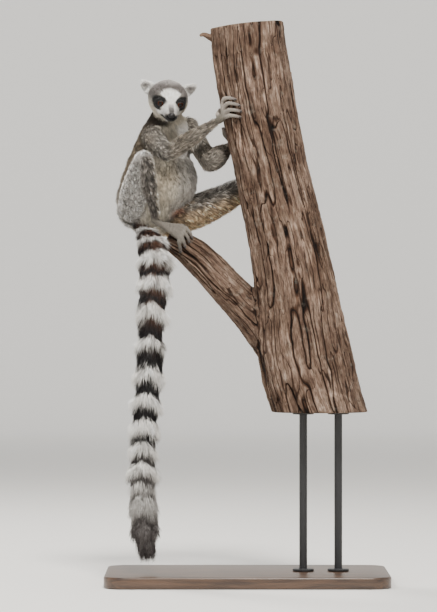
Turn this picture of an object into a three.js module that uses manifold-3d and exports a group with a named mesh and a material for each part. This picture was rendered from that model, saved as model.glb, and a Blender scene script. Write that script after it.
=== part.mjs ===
// A life-size ring-tailed lemur that clings to a forked length of tree trunk on a display stand.
// Millimetres, +Z up. The origin is the centre of the stand board's underside, and the animal's
// belly faces +X and -Y. Each named mesh is one closed solid, and the solids of the animal reach
// out to the tips of its coat.
import * as THREE from "three";
import { mergeVertices } from "three/addons/utils/BufferGeometryUtils.js";
import Module from "manifold-3d";

const wasm = await Module();
wasm.setup();

const at = (x, y, z) => new THREE.Vector3(x, y, z);
const radians = THREE.MathUtils.degToRad;

// ---------------------------------------------------------------- driving dimensions
const GAP = 0.35; // clearance left between neighbouring solids
const UP = at(0, 0, 1);
const VIEWER = at(0, -1, 0); // the side that the face looks to
const DOME = radians(48); // where a rounded end has its one ring

const BOARD = { length: 500, depth: 300, thickness: 20, corner: 36, bevel: 3 };
const ROD = { radius: 7, flange: 19, flangeHeight: 4, spread: 62 };
const TRUNK_FOOT = 302; // height of the level cut under the trunk

// The trunk's axis from its level foot to its sawn top, with its radius.
const TRUNK = [
  { at: at(140, 0, 270), r: 79 },
  { at: at(122, 0, 323), r: 81 },
  { at: at(104, 0, 394), r: 84 },
  { at: at(95, 0, 450), r: 79 },
  { at: at(84, 0, 535), r: 71 },
  { at: at(71, 0, 606), r: 68 },
  { at: at(55, 0, 676), r: 66 },
  { at: at(39, 0, 748), r: 64 },
  { at: at(18, 0, 854), r: 67 },
  { at: at(6, 0, 930), r: 66 },
  { at: at(0, 0, 986), r: 65 },
];

// The broken branch that forks from the trunk, from inside the trunk to its end.
const BRANCH = [
  { at: at(66, 2, 422), r: 51 },
  { at: at(-5, 9, 490), r: 33.5 },
  { at: at(-40, 13, 526), r: 31 },
  { at: at(-80, 16, 570), r: 29.5 },
  { at: at(-112, 18, 596), r: 25 },
  { at: at(-135, 20, 607), r: 20 },
];

// The way that the chest and belly face, turned from -Y towards +X.
const BODY_YAW = radians(33);
const BODY_FRONT = at(Math.sin(BODY_YAW), -Math.cos(BODY_YAW), 0);

// Torso sections from seat to nape: half width, and half depth to the belly and to the back.
const TORSO = [
  { at: at(-172, 20, 617), w: 24, front: 22, back: 22 },
  { at: at(-175, 22, 635), w: 42, front: 41, back: 40 },
  { at: at(-175, 25, 660), w: 55, front: 52, back: 58 },
  { at: at(-163, 27, 686), w: 69, front: 74, back: 75 },
  { at: at(-157, 28, 712), w: 70, front: 74, back: 70 },
  { at: at(-155, 28, 739), w: 63, front: 63, back: 60 },
  { at: at(-154, 28, 765), w: 53, front: 47, back: 49 },
  { at: at(-149, 27, 787), w: 49, front: 41, back: 43 },
  { at: at(-144, 25, 804), w: 46, front: 36, back: 38 },
  { at: at(-142, 20, 821), w: 35, front: 29, back: 33 },
  { at: at(-143, 13, 838), w: 27, front: 24, back: 28 },
];
const TORSO_CUTS = { rump: 668, abdomen: 742, chest: 812 }; // heights of the parting cuts

// The head's own frame: its centre, where the muzzle points, and the tilt to its left.
const HEAD = { at: at(-141, 4, 856), yaw: radians(10), pitch: radians(21), roll: radians(4) };
// Head sections along the muzzle's direction: half width, and the heights of crown and chin.
const SKULL = [
  { s: -34, w: 17, top: 14, low: -12 },
  { s: -26, w: 26, top: 24, low: -22 },
  { s: -13, w: 32.5, top: 31.5, low: -28 },
  { s: 0, w: 35.5, top: 35, low: -31 },
  { s: 12, w: 36, top: 33.5, low: -32 },
  { s: 21, w: 33.5, top: 28, low: -31 },
  { s: 28, w: 27, top: 20, low: -29 },
  { s: 34, w: 20, top: 11.5, low: -27 },
  { s: 42, w: 15.5, top: 4, low: -26 },
  { s: 51, w: 13.5, top: -1.5, low: -25 },
  { s: 59, w: 11.5, top: -5.5, low: -23 },
  { s: 64, w: 8.5, top: -8.5, low: -20 },
];
const EYE = { radius: 8.2, forward: 28.5, side: 16.5, up: 0.5 };
const NOSE = { from: 60, to: 66.5, up: -10, drop: 2, width: 6.2, height: 4.6 };
const EAR = { side: 28, forward: -4, up: 11.5, length: 27, width: 14, thick: 3.6, cup: 5 };

// Joint centres of the limbs. "right" is the animal's own right, the side nearer -Y.
const SHOULDER = { right: at(-166, 2, 793), left: at(-109, 44, 809) };
const ELBOW = { right: at(-139, -58, 758), left: at(-68, -12, 744) };
const WRIST = { right: at(-56, -32, 813), left: at(-34, 50, 771) };
const HIP = { right: at(-197, 18, 654), left: at(-150, 38, 645) };
const KNEE = { right: at(-181, -92, 746), left: at(-11, 68, 698) };
const ANKLE = { right: at(-161, -31, 650), left: at(58, 84, 632) };

// Half thickness of each limb from its upper joint to its lower one.
const UPPER_ARM = [23, 21, 18.5, 17];
const FOREARM = { right: [16, 16.5, 15, 12, 8.5], left: [20, 22, 20, 16, 11] };
const THIGH = { right: [36, 31, 24, 18], left: [36, 34, 30, 23] };
const SHIN = [18, 17.5, 15, 11, 9.5];
const LIMB_BOW = {
  upper: { right: at(-4, 0, -3), left: at(3, 0, -2) },
  fore: { right: at(0, 0, -2), left: at(0, 0, -2) },
  thigh: { right: at(-4, 0, 2), left: at(0, 0, -9) },
  shin: { right: at(0, -4, 0), left: at(-3, 9, 0) },
};

// Half thickness of the digits at root and tip.
const FINGER = { root: 4.2, tip: 2.9 };
const THUMB = { root: 5.2, tip: 3.6 };
const TOE = { root: 4.8, tip: 3.3 };
const BIG_TOE = { root: 6.5, tip: 4.6 };

// The hands on the trunk. A place on the wood is a height, an angle round it in degrees from its
// -X side towards -Y, and for the thumb a lift off the bark. Each finger starts at its knuckle,
// rises by `rise`, and runs `reach` degrees round the wood.
const HANDS = {
  right: {
    palm: [
      { height: 823, angle: 27 },
      { height: 836, angle: 32 },
    ],
    fingers: [
      { height: 846, angle: 32, rise: [9, 8], reach: 31 },
      { height: 840, angle: 34, rise: [7, 7], reach: 33 },
      { height: 833, angle: 35, rise: [5, 4], reach: 32 },
      { height: 827, angle: 36, rise: [0, -2], reach: 26 },
    ],
    thumb: [
      { height: 824, angle: 14, lift: 10 },
      { height: 832, angle: -8, lift: 8 },
      { height: 839, angle: -28, lift: 5 },
    ],
  },
  left: {
    palm: [
      { height: 781, angle: -44 },
      { height: 796, angle: -50 },
    ],
    fingers: [
      { height: 806, angle: -50, rise: [9, 11], reach: -44 },
      { height: 800, angle: -52, rise: [6, 7], reach: -46 },
      { height: 793, angle: -53, rise: [2, 1], reach: -44 },
      { height: 786, angle: -52, rise: [-2, -5], reach: -36 },
    ],
    thumb: [
      { height: 783, angle: -38, lift: 10 },
      { height: 793, angle: -22, lift: 8 },
      { height: 800, angle: -8, lift: 4 },
    ],
  },
};
// A finger's shares of its reach, and its lifts off the bark, from knuckle to tip.
const FINGER_SHARES = [0, 0.38, 0.75, 1];
const FINGER_LIFTS = [7, 8, 5, 3.4];

// The tail's axis and half thickness, from inside the rump to its tip.
const TAIL = [
  { at: at(-180, 34, 655), r: 15 },
  { at: at(-191, 14, 642), r: 16 },
  { at: at(-188, -14, 626), r: 19.5 },
  { at: at(-174, -38, 606), r: 27 },
  { at: at(-164, -48, 576), r: 34 },
  { at: at(-163.5, -48, 535), r: 35 },
  { at: at(-167, -48, 482), r: 34.5 },
  { at: at(-170, -48, 420), r: 33.5 },
  { at: at(-172, -48, 367), r: 33 },
  { at: at(-177, -48, 314), r: 32 },
  { at: at(-181, -48, 270), r: 31 },
  { at: at(-183.5, -48, 226), r: 30.5 },
  { at: at(-184, -48, 181), r: 30 },
  { at: at(-182, -48, 128), r: 29.5 },
  { at: at(-179.5, -48, 94), r: 28 },
  { at: at(-177, -48, 66), r: 22.5 },
];
const TAIL_CUTS = [520, 370, 215]; // heights that part the tail into four lengths
const TAIL_RINGS = 13;
const RING_FLARE = 1.6; // how far each ring's lower hairs stand out

// ---------------------------------------------------------------- making solids
// A closed skin over rings of points. Each station has a centre `at`, a half width w, and half
// depths front and back. `front` is the direction of the section's front, and `normal` sets every
// section square to one direction instead of square to the path. The two ends are domes whose
// heights are shares of the end section's size, and 0 leaves an end flat. `grow` thickens the
// whole form, and `shape` may swell a point by its angle and its height.
function loft(stations, options) {
  const { front, normal, sides = 14, steps = 10, domes = [0.7, 0.7], grow = 0, shape } = options;
  const centres = new THREE.CatmullRomCurve3(stations.map((s) => s.at));
  const sizes = new THREE.CatmullRomCurve3(
    stations.map((s) => at(s.w ?? s.r, s.front ?? s.r, s.back ?? s.r)),
  );
  const rings = [];
  const addRing = (t, share, lift) => {
    const along = normal ?? centres.getTangent(t);
    const ahead = front.clone().addScaledVector(along, -front.dot(along)).normalize();
    const side = new THREE.Vector3().crossVectors(ahead, along);
    const size = sizes.getPoint(t);
    const centre = centres.getPoint(t).addScaledVector(along, lift);
    const ring = [];
    for (let j = 0; j < sides; j++) {
      const angle = (2 * Math.PI * j) / sides;
      const swell = shape ? shape(angle, centre.z) : 0;
      const depth = Math.sin(angle) < 0 ? size.z : size.y;
      const wide = Math.cos(angle) * (size.x + grow + swell) * share;
      const deep = Math.sin(angle) * (depth + grow + swell) * share;
      ring.push(centre.clone().addScaledVector(side, wide).addScaledVector(ahead, deep));
    }
    rings.push(ring);
  };
  const domeHeight = (t, share) => {
    const size = sizes.getPoint(t);
    return share * Math.min(size.x, (size.y + size.z) / 2) + grow;
  };
  const first = domeHeight(0, domes[0]);
  const last = domeHeight(1, domes[1]);
  if (domes[0]) addRing(0, Math.cos(DOME), -first * Math.sin(DOME));
  for (let i = 0; i <= steps; i++) {
    const isFlatStart = i === 0 && !domes[0];
    const isFlatEnd = i === steps && !domes[1];
    addRing(i / steps, 1, isFlatStart ? -grow : isFlatEnd ? grow : 0);
  }
  if (domes[1]) addRing(1, Math.cos(DOME), last * Math.sin(DOME));
  const pole = (t, reach) =>
    centres.getPoint(t).addScaledVector(normal ?? centres.getTangent(t), reach);
  const poles = [pole(0, domes[0] ? -first : -grow), pole(1, domes[1] ? last : grow)];
  const points = [...rings.flat(), ...poles];
  const faces = [];
  const index = (i, j) => i * sides + (j % sides);
  const startPole = rings.length * sides;
  for (let j = 0; j < sides; j++) {
    faces.push(startPole, index(0, j + 1), index(0, j));
    faces.push(startPole + 1, index(rings.length - 1, j), index(rings.length - 1, j + 1));
    for (let i = 0; i + 1 < rings.length; i++) {
      faces.push(index(i, j), index(i, j + 1), index(i + 1, j + 1));
      faces.push(index(i, j), index(i + 1, j + 1), index(i + 1, j));
    }
  }
  const geometry = new THREE.BufferGeometry().setFromPoints(points);
  geometry.setIndex(faces);
  return geometry;
}

function solid(geometry) {
  const bare = geometry.clone();
  bare.deleteAttribute("normal");
  bare.deleteAttribute("uv");
  const merged = mergeVertices(bare, 1e-4);
  return new wasm.Manifold(
    new wasm.Mesh({
      numProp: 3,
      vertProperties: new Float32Array(merged.attributes.position.array),
      triVerts: new Uint32Array(merged.index.array),
    }),
  );
}

const join = (...solids) => solids.reduce((whole, next) => whole.add(next));
const cut = (whole, ...tools) => tools.reduce((rest, tool) => rest.subtract(tool), whole);

// The largest body of a solid, so that no crumb is left where a cut grazes a neighbour.
function mainBody(whole) {
  const bodies = whole.decompose();
  return bodies.reduce((best, body) => (body.volume() > best.volume() ? body : best));
}

// The slab of a solid between two heights, less half a gap at each cut.
function slab(whole, low, high) {
  let part = whole;
  if (low !== null) part = part.trimByPlane([0, 0, 1], low + GAP / 2);
  if (high !== null) part = part.trimByPlane([0, 0, -1], -(high - GAP / 2));
  return mainBody(part);
}

// A limb length between two joints, with half thicknesses spread evenly from `from` to `to`, and
// bowed sideways in its middle.
function limb(from, to, radii, { front = BODY_FRONT, bow, grow = 0 }) {
  const stations = radii.map((r, i) => {
    const t = i / (radii.length - 1);
    const place = from.clone().lerp(to, t).addScaledVector(bow, Math.sin(Math.PI * t));
    return { at: place, r };
  });
  return solid(loft(stations, { front, sides: 10, steps: 5, grow, domes: [0.75, 0.75] }));
}

// A finger or toe through a few points.
function digit(points, size) {
  const stations = points.map((p, i) => {
    const r = THREE.MathUtils.lerp(size.root, size.tip, i / (points.length - 1));
    return { at: p, r };
  });
  return solid(loft(stations, { front: BODY_FRONT, sides: 5, steps: 3, domes: [0, 0.8] }));
}

// ---------------------------------------------------------------- the perch
// A length of wood as a function that gives the point at a share of its axis, an angle round it
// in degrees and a lift off its bark. `zeroSide` is the side that angle 0 faces, and angles grow
// towards -Y.
function wood(stations, zeroSide, bark = () => 0) {
  const axis = new THREE.CatmullRomCurve3(stations.map((s) => s.at));
  const radii = new THREE.CatmullRomCurve3(stations.map((s) => at(s.r, 0, 0)));
  return function place(t, angle, lift) {
    const along = axis.getTangent(t);
    const zero = zeroSide.clone().addScaledVector(along, -zeroSide.dot(along)).normalize();
    const near = VIEWER.clone().addScaledVector(along, -VIEWER.dot(along)).normalize();
    const centre = axis.getPoint(t);
    const reach = radii.getPoint(t).x + bark(radians(angle), centre.z) + lift;
    return centre
      .addScaledVector(zero, Math.cos(radians(angle)) * reach)
      .addScaledVector(near, Math.sin(radians(angle)) * reach);
  };
}

// Low ridges of bark that wind a little on their way up.
const trunkBark = (angle, height) =>
  1.6 * Math.sin(5 * angle + 0.9 * Math.sin(height / 70)) +
  1.1 * Math.sin(9 * angle - height / 60 + 1.3);
const branchBark = (angle, height) => 0.9 * Math.sin(5 * angle + height / 30);

const trunkPlace = wood(TRUNK, at(-1, 0, 0), trunkBark);
const branchPlace = wood(BRANCH, at(0, 0, 1));

// The trunk's point at a height instead of a share of its axis.
function onTrunk(height, angle, lift) {
  let low = 0;
  let high = 1;
  for (let i = 0; i < 24; i++) {
    const middle = (low + high) / 2;
    if (trunkPlace(middle, angle, lift).z < height) low = middle;
    else high = middle;
  }
  return trunkPlace(low, angle, lift);
}

// The direction straight out of the trunk at a place on it.
const outOfTrunk = (height, angle) =>
  onTrunk(height, angle, 10).sub(onTrunk(height, angle, 0)).normalize();

const trunk = (grow) =>
  solid(
    loft(TRUNK, { front: VIEWER, sides: 18, steps: 12, domes: [0, 0], grow, shape: trunkBark }),
  ).trimByPlane([0, 0, 1], TRUNK_FOOT - grow);
const branch = (grow) =>
  solid(
    loft(BRANCH, { front: VIEWER, sides: 12, steps: 6, domes: [0, 0.35], grow, shape: branchBark }),
  );
const knot = join(
  digit([onTrunk(958, 6, -12), onTrunk(964, 8, 2), onTrunk(968, 10, 11)], { root: 8, tip: 4 }),
  digit([onTrunk(964, 8, 2), onTrunk(969, 12, 13), onTrunk(967, 12, 19)], { root: 4.5, tip: 2.5 }),
);
const perchTrunk = join(trunk(0), knot);
const perchBranch = mainBody(cut(branch(0), trunk(GAP)));
const perchGrown = join(trunk(GAP), branch(GAP));

// ---------------------------------------------------------------- head
const headFrame = new THREE.Matrix4()
  .makeTranslation(HEAD.at.x, HEAD.at.y, HEAD.at.z)
  .multiply(new THREE.Matrix4().makeRotationZ(HEAD.yaw))
  .multiply(new THREE.Matrix4().makeRotationX(HEAD.pitch))
  .multiply(new THREE.Matrix4().makeRotationY(HEAD.roll));
// A point of the head from its own left, forward and up distances.
const onHead = (left, forward, up) => at(left, -forward, up).applyMatrix4(headFrame);
const headDirection = (left, forward, up) =>
  onHead(left, forward, up).sub(HEAD.at).normalize();

const skull = (grow) =>
  solid(
    loft(
      SKULL.map(({ s, w, top, low }) => ({
        at: onHead(0, s, (top + low) / 2),
        w,
        front: (top - low) / 2,
        back: (top - low) / 2,
      })),
      {
        front: headDirection(0, 0, 1),
        normal: headDirection(0, 1, 0),
        sides: 16,
        steps: 12,
        domes: [0.45, 0.7],
        grow,
      },
    ),
  );

const MIRROR = { left: 1, right: -1 };
const eyeCentre = (name) => onHead(MIRROR[name] * EYE.side, EYE.forward, EYE.up);
const eyeBall = (name, grow) => {
  const centre = eyeCentre(name);
  const ball = new THREE.SphereGeometry(EYE.radius + grow, 10, 8);
  return solid(ball).translate(centre.x, centre.y, centre.z);
};

// The bare nose pad at the tip of the muzzle.
const nose = (grow) => {
  const stations = [NOSE.from, NOSE.to].map((s, i) => ({
    at: onHead(0, s, NOSE.up - NOSE.drop * i),
    w: NOSE.width,
    front: NOSE.height,
    back: NOSE.height,
  }));
  const options = { sides: 8, steps: 1, domes: [0.4, 0.6], grow };
  const front = headDirection(0, 0, 1);
  return solid(loft(stations, { front, normal: headDirection(0, 1, 0), ...options }));
};

// An ear is a cupped leaf: wide in its middle, thin, and hollowed towards the front.
function ear(name) {
  const k = MIRROR[name];
  const SHARES = [0, 0.25, 0.5, 0.75, 1];
  const WIDTHS = [0.72, 0.98, 1, 0.78, 0.36];
  const stations = SHARES.map((t, i) => {
    const out = EAR.side + 0.66 * EAR.length * t;
    const rise = EAR.up + 0.68 * EAR.length * t;
    const bend = EAR.forward - EAR.cup * Math.sin(Math.PI * t);
    const w = EAR.width * WIDTHS[i];
    return { at: onHead(k * out, bend, rise), w, front: EAR.thick, back: EAR.thick };
  });
  const facing = headDirection(k * 0.45, 1, -0.1);
  return solid(loft(stations, { front: facing, sides: 8, steps: 5, domes: [0.5, 0.9] }));
}

// ---------------------------------------------------------------- torso and tail
const torso = (grow) => {
  const options = { front: BODY_FRONT, normal: UP, sides: 20, steps: 14, domes: [0.5, 0.5], grow };
  return solid(loft(TORSO, options));
};

const tailLength = TAIL[0].at.z - TAIL[TAIL.length - 1].at.z;
const ringSwell = (angle, height) => {
  const share = ((TAIL[0].at.z - height) / tailLength) * TAIL_RINGS;
  return RING_FLARE * Math.sin(2 * Math.PI * share);
};
const tailWhole = (grow) => {
  const options = { front: VIEWER, sides: 12, steps: 27, domes: [0.5, 0.8], grow, shape: ringSwell };
  return solid(loft(TAIL, options));
};

// ---------------------------------------------------------------- arms
const arms = {};
for (const name of ["right", "left"]) {
  const bow = LIMB_BOW.upper[name];
  const foreBow = LIMB_BOW.fore[name];
  arms[name] = {
    upper: (grow) => limb(SHOULDER[name], ELBOW[name], UPPER_ARM, { grow, bow }),
    fore: (grow) =>
      limb(ELBOW[name], WRIST[name], FOREARM[name], { grow, bow: foreBow, front: VIEWER }),
  };
}

// A hand on the trunk: a palm from the wrist, four fingers and a thumb.
function hand(name) {
  const { palm, fingers, thumb } = HANDS[name];
  const [heel, knuckles] = palm;
  const stations = [
    { at: WRIST[name], w: 8, front: 7.5, back: 7.5 },
    { at: onTrunk(heel.height, heel.angle, 9.5), w: 10.5, front: 8, back: 8 },
    { at: onTrunk(knuckles.height, knuckles.angle, 8), w: 12, front: 7, back: 7 },
  ];
  const front = outOfTrunk(knuckles.height, knuckles.angle);
  const base = solid(loft(stations, { front, sides: 8, steps: 3, domes: [0.6, 0.6] }));
  const digits = fingers.map(({ height, angle, rise, reach }) => {
    const rises = [0, rise[0], rise[1], rise[1] - 1];
    const places = FINGER_SHARES.map((share, i) =>
      onTrunk(height + rises[i], angle + reach * share, FINGER_LIFTS[i]),
    );
    return digit(places, FINGER);
  });
  const thumbPlaces = thumb.map(({ height, angle, lift }) => onTrunk(height, angle, lift));
  return join(base, digit(thumbPlaces, THUMB), ...digits);
}

// ---------------------------------------------------------------- legs
const legs = {};
for (const name of ["right", "left"]) {
  const bow = LIMB_BOW.thigh[name];
  const shinBow = LIMB_BOW.shin[name];
  legs[name] = {
    thigh: (grow) => limb(HIP[name], KNEE[name], THIGH[name], { grow, bow }),
    shin: (grow) => limb(KNEE[name], ANKLE[name], SHIN, { grow, bow: shinBow }),
  };
}

// The right foot lies along the branch's near side, with its big toe over the top.
function footOnBranch() {
  const sole = [
    { at: at(-165, -27, 643), w: 9, front: 8, back: 8 },
    { at: at(-154, -21, 636), w: 10.5, front: 8.5, back: 8.5 },
    { at: branchPlace(0.965, 48, 9), w: 12, front: 8, back: 8 },
    { at: branchPlace(0.925, 58, 8), w: 13, front: 7, back: 7 },
  ];
  const front = branchPlace(0.95, 52, 10).sub(branchPlace(0.95, 52, 0)).normalize();
  const base = solid(loft(sole, { front, sides: 8, steps: 4, domes: [0.8, 0.6] }));
  const toes = [0, 1, 2, 3].map((i) =>
    digit(
      [
        branchPlace(0.925 - 0.004 * i, 30 + 13 * i, 8),
        branchPlace(0.88 - 0.004 * i, 37 + 14 * i, 8.5),
        branchPlace(0.84 + 0.004 * i, 47 + 15 * i, 6),
        branchPlace(0.825 + 0.008 * i, 56 + 15 * i, 4.2),
      ],
      TOE,
    ),
  );
  const big = digit(
    [branchPlace(0.965, 26, 9), branchPlace(0.93, 0, 8), branchPlace(0.89, -22, 5.5)],
    BIG_TOE,
  );
  return join(base, big, ...toes);
}

// The left foot holds the back of the trunk.
function footOnTrunk() {
  const sole = [
    { at: ANKLE.left.clone().add(at(-8, 2, -9)), w: 9, front: 8.5, back: 8.5 },
    { at: onTrunk(636, -94, 12), w: 11, front: 9, back: 9 },
    { at: onTrunk(652, -100, 9.5), w: 13, front: 7.5, back: 7.5 },
    { at: onTrunk(664, -103, 8), w: 13.5, front: 7, back: 7 },
  ];
  const front = outOfTrunk(650, -100);
  const base = solid(loft(sole, { front, sides: 8, steps: 4, domes: [0.8, 0.6] }));
  const toes = [0, 1, 2, 3].map((i) =>
    digit(
      [
        onTrunk(668 - 7 * i, -104 - 2 * i, 7.5),
        onTrunk(682 - 11 * i, -112 - 4 * i, 8),
        onTrunk(692 - 14 * i, -124 - 6 * i, 6),
        onTrunk(696 - 16 * i, -130 - 7 * i, 4),
      ],
      TOE,
    ),
  );
  const big = digit(
    [onTrunk(640, -92, 10), onTrunk(654, -74, 9), onTrunk(664, -56, 6.5), onTrunk(668, -46, 5)],
    BIG_TOE,
  );
  return join(base, big, ...toes);
}

// ---------------------------------------------------------------- stand
function board() {
  const { length, depth, thickness, corner, bevel } = BOARD;
  const x = length / 2 - bevel;
  const y = depth / 2 - bevel;
  const outline = new THREE.Shape();
  outline.moveTo(-x + corner, -y);
  outline.lineTo(x - corner, -y);
  outline.absarc(x - corner, -y + corner, corner, -Math.PI / 2, 0);
  outline.lineTo(x, y - corner);
  outline.absarc(x - corner, y - corner, corner, 0, Math.PI / 2);
  outline.lineTo(-x + corner, y);
  outline.absarc(-x + corner, y - corner, corner, Math.PI / 2, Math.PI);
  outline.lineTo(-x, -y + corner);
  outline.absarc(-x + corner, -y + corner, corner, Math.PI, 1.5 * Math.PI);
  const slabShape = new THREE.ExtrudeGeometry(outline, {
    depth: thickness - 2 * bevel,
    bevelThickness: bevel,
    bevelSize: bevel,
    bevelSegments: 1,
    curveSegments: 4,
  });
  return solid(slabShape.translate(0, 0, bevel));
}

// A steel rod with a round flange at each end, under the trunk's level foot.
function rod(x) {
  const low = BOARD.thickness + GAP;
  const high = TRUNK_FOOT - GAP;
  const { radius, flange, flangeHeight } = ROD;
  const profile = [
    [0, low],
    [flange, low],
    [flange, low + flangeHeight],
    [radius, low + flangeHeight + 1],
    [radius, high - flangeHeight - 1],
    [flange, high - flangeHeight],
    [flange, high],
    [0, high],
  ].map(([r, z]) => new THREE.Vector2(r, z));
  const turned = new THREE.LatheGeometry(profile, 10).rotateX(Math.PI / 2);
  return solid(turned).translate(x, 0, 0);
}

// ---------------------------------------------------------------- parting the animal
const torsoCut = torso(GAP);
const headCut = skull(GAP);
const head = mainBody(cut(skull(0), eyeBall("left", GAP), eyeBall("right", GAP), nose(GAP)));
const torsoSolid = cut(torso(0), perchGrown, headCut);

const parts = new Map();
parts.set("head", head);
parts.set("nose", nose(0));
for (const name of ["right", "left"]) {
  parts.set(`ear_${name}`, mainBody(cut(ear(name), headCut)));
  parts.set(`eye_${name}`, eyeBall(name, 0));
}
parts.set("neck", slab(torsoSolid, TORSO_CUTS.chest, null));
parts.set("chest", slab(torsoSolid, TORSO_CUTS.abdomen, TORSO_CUTS.chest));
parts.set("abdomen", slab(torsoSolid, TORSO_CUTS.rump, TORSO_CUTS.abdomen));
parts.set("rump", slab(torsoSolid, null, TORSO_CUTS.rump));

for (const name of ["right", "left"]) {
  const { upper, fore } = arms[name];
  const { thigh, shin } = legs[name];
  const body = [torsoCut, headCut, perchGrown];
  parts.set(`upper_arm_${name}`, mainBody(cut(upper(0), ...body)));
  parts.set(`forearm_${name}`, mainBody(cut(fore(0), upper(GAP), ...body)));
  parts.set(`hand_${name}`, mainBody(cut(hand(name), fore(GAP), perchGrown)));
  parts.set(`thigh_${name}`, mainBody(cut(thigh(0), ...body)));
  parts.set(`shin_${name}`, mainBody(cut(shin(0), thigh(GAP), ...body)));
}
parts.set(
  "foot_right",
  mainBody(
    cut(
      footOnBranch(),
      legs.right.shin(GAP),
      legs.left.thigh(GAP),
      torsoCut,
      tailWhole(GAP),
      perchGrown,
    ),
  ),
);
parts.set("foot_left", mainBody(cut(footOnTrunk(), legs.left.shin(GAP), perchGrown)));

const tailSolid = cut(
  tailWhole(0),
  torsoCut,
  perchGrown,
  legs.right.shin(GAP),
  legs.right.thigh(GAP),
);
const tailHeights = [null, ...[...TAIL_CUTS].reverse(), null];
const TAIL_NAMES = ["tail_tip", "tail_lower", "tail_upper", "tail_base"];
TAIL_NAMES.forEach((name, i) => {
  parts.set(name, slab(tailSolid, tailHeights[i], tailHeights[i + 1]));
});

parts.set("perch_trunk", perchTrunk);
parts.set("perch_branch", perchBranch);
parts.set("stand_board", board());
const footCentre = trunkPlace(0.07, 0, 0).x + TRUNK[0].r;
parts.set("stand_rod_1", rod(footCentre - ROD.spread / 2));
parts.set("stand_rod_2", rod(footCentre + ROD.spread / 2));

// ---------------------------------------------------------------- finishes and the group
const FINISH = {
  greyFur: { color: 0x8b8580, roughness: 0.9 },
  brownFur: { color: 0x7d6f63, roughness: 0.9 },
  paleFur: { color: 0xd9d2c6, roughness: 0.9 },
  ringFur: { color: 0x9a9691, roughness: 0.9 },
  eye: { color: 0xa8541c, roughness: 0.15 },
  nose: { color: 0x1d1a19, roughness: 0.5 },
  bark: { color: 0x6e5a4f, roughness: 0.95 },
  board: { color: 0x4a3a30, roughness: 0.5 },
  steel: { color: 0x2b2b2d, roughness: 0.4, metalness: 0.8 },
};
const FINISH_OF = [
  [/^eye_/, "eye"],
  [/^nose/, "nose"],
  [/^ear_|^abdomen/, "paleFur"],
  [/^chest|^neck|^rump/, "brownFur"],
  [/^tail_/, "ringFur"],
  [/^perch_/, "bark"],
  [/^stand_board/, "board"],
  [/^stand_rod/, "steel"],
  [/./, "greyFur"],
];

function meshOf(name, part) {
  const { vertProperties, triVerts, numProp } = part.getMesh();
  const geometry = new THREE.BufferGeometry();
  const positions = new Float32Array((vertProperties.length / numProp) * 3);
  for (let i = 0; i < positions.length / 3; i++)
    positions.set(vertProperties.subarray(i * numProp, i * numProp + 3), i * 3);
  geometry.setAttribute("position", new THREE.BufferAttribute(positions, 3));
  geometry.setIndex(new THREE.BufferAttribute(new Uint32Array(triVerts), 1));
  geometry.computeVertexNormals();
  const [, finish] = FINISH_OF.find(([pattern]) => pattern.test(name));
  const mesh = new THREE.Mesh(geometry, new THREE.MeshStandardMaterial(FINISH[finish]));
  mesh.name = name;
  return mesh;
}

const lemur = new THREE.Group();
for (const [name, part] of parts) lemur.add(meshOf(name, part));

export default lemur;
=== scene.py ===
"""A life-size ring-tailed lemur that clings to a forked length of trunk on a display stand.

Metres, +Z up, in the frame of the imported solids. One skin stands for the flesh, a coat of solid
tufts lies over it, and both take their colours from the same markings.
"""

import math

import bmesh
import bpy
import numpy as np
from mathutils import Matrix, Vector
from mathutils.bvhtree import BVHTree
from mathutils.kdtree import KDTree


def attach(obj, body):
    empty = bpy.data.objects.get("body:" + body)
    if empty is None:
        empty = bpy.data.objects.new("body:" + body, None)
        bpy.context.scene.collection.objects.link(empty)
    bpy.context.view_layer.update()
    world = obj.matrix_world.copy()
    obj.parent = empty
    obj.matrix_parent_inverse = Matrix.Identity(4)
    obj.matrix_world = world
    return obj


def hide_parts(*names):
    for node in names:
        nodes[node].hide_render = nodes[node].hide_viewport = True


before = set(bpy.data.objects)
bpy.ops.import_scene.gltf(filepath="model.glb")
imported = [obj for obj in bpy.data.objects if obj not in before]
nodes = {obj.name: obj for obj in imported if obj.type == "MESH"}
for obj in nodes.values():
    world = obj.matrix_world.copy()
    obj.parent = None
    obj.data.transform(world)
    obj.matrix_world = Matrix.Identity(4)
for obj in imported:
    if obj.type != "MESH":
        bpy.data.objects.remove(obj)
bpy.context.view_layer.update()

MM = 0.001
SIDES = ("right", "left")  # the animal's own sides; its right is the side nearer -Y
SIGN = {"right": -1.0, "left": 1.0}

# ------------------------------------------------------------------ the animal's measures, in mm
BODY_AXIS = (-0.156, 0.026, 0.0)  # the torso's upright axis, in metres
LIT_BREAST = (-113, 0, 806)  # the middle of a white patch beside the throat, painted light on the pale chest
BELLY_FOLD = (-126, 0, 655)
HEAD_AT = (-141, 4, 856)
HEAD_YAW, HEAD_PITCH, HEAD_ROLL = 10, 21, 4  # degrees
BODY_YAW = 33  # degrees from -Y towards +X that the belly faces
EYE = {"radius": 8.2, "forward": 28.5, "side": 16.5, "up": 0.5}
EYE_OPENING = (5.4, 4.2)  # half width and half height between the lids
NOSE_AT = (0, 60.5, -11.5)  # left, forward and up of the head's centre
MOUTH = [(0, 62.5, -17.5), (4, 60.5, -18.4), (8, 55, -19.2), (11.5, 47, -19.6), (14, 39, -18.2)]

SHOULDER = {"right": (-166, 2, 793), "left": (-109, 44, 809)}
ELBOW = {"right": (-139, -58, 758), "left": (-68, -12, 744)}
WRIST = {"right": (-56, -32, 813), "left": (-34, 50, 771)}
HIP = {"right": (-197, 18, 654), "left": (-150, 38, 645)}
KNEE = {"right": (-181, -92, 746), "left": (-11, 68, 698)}
ANKLE = {"right": (-161, -31, 650), "left": (58, 84, 632)}

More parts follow.
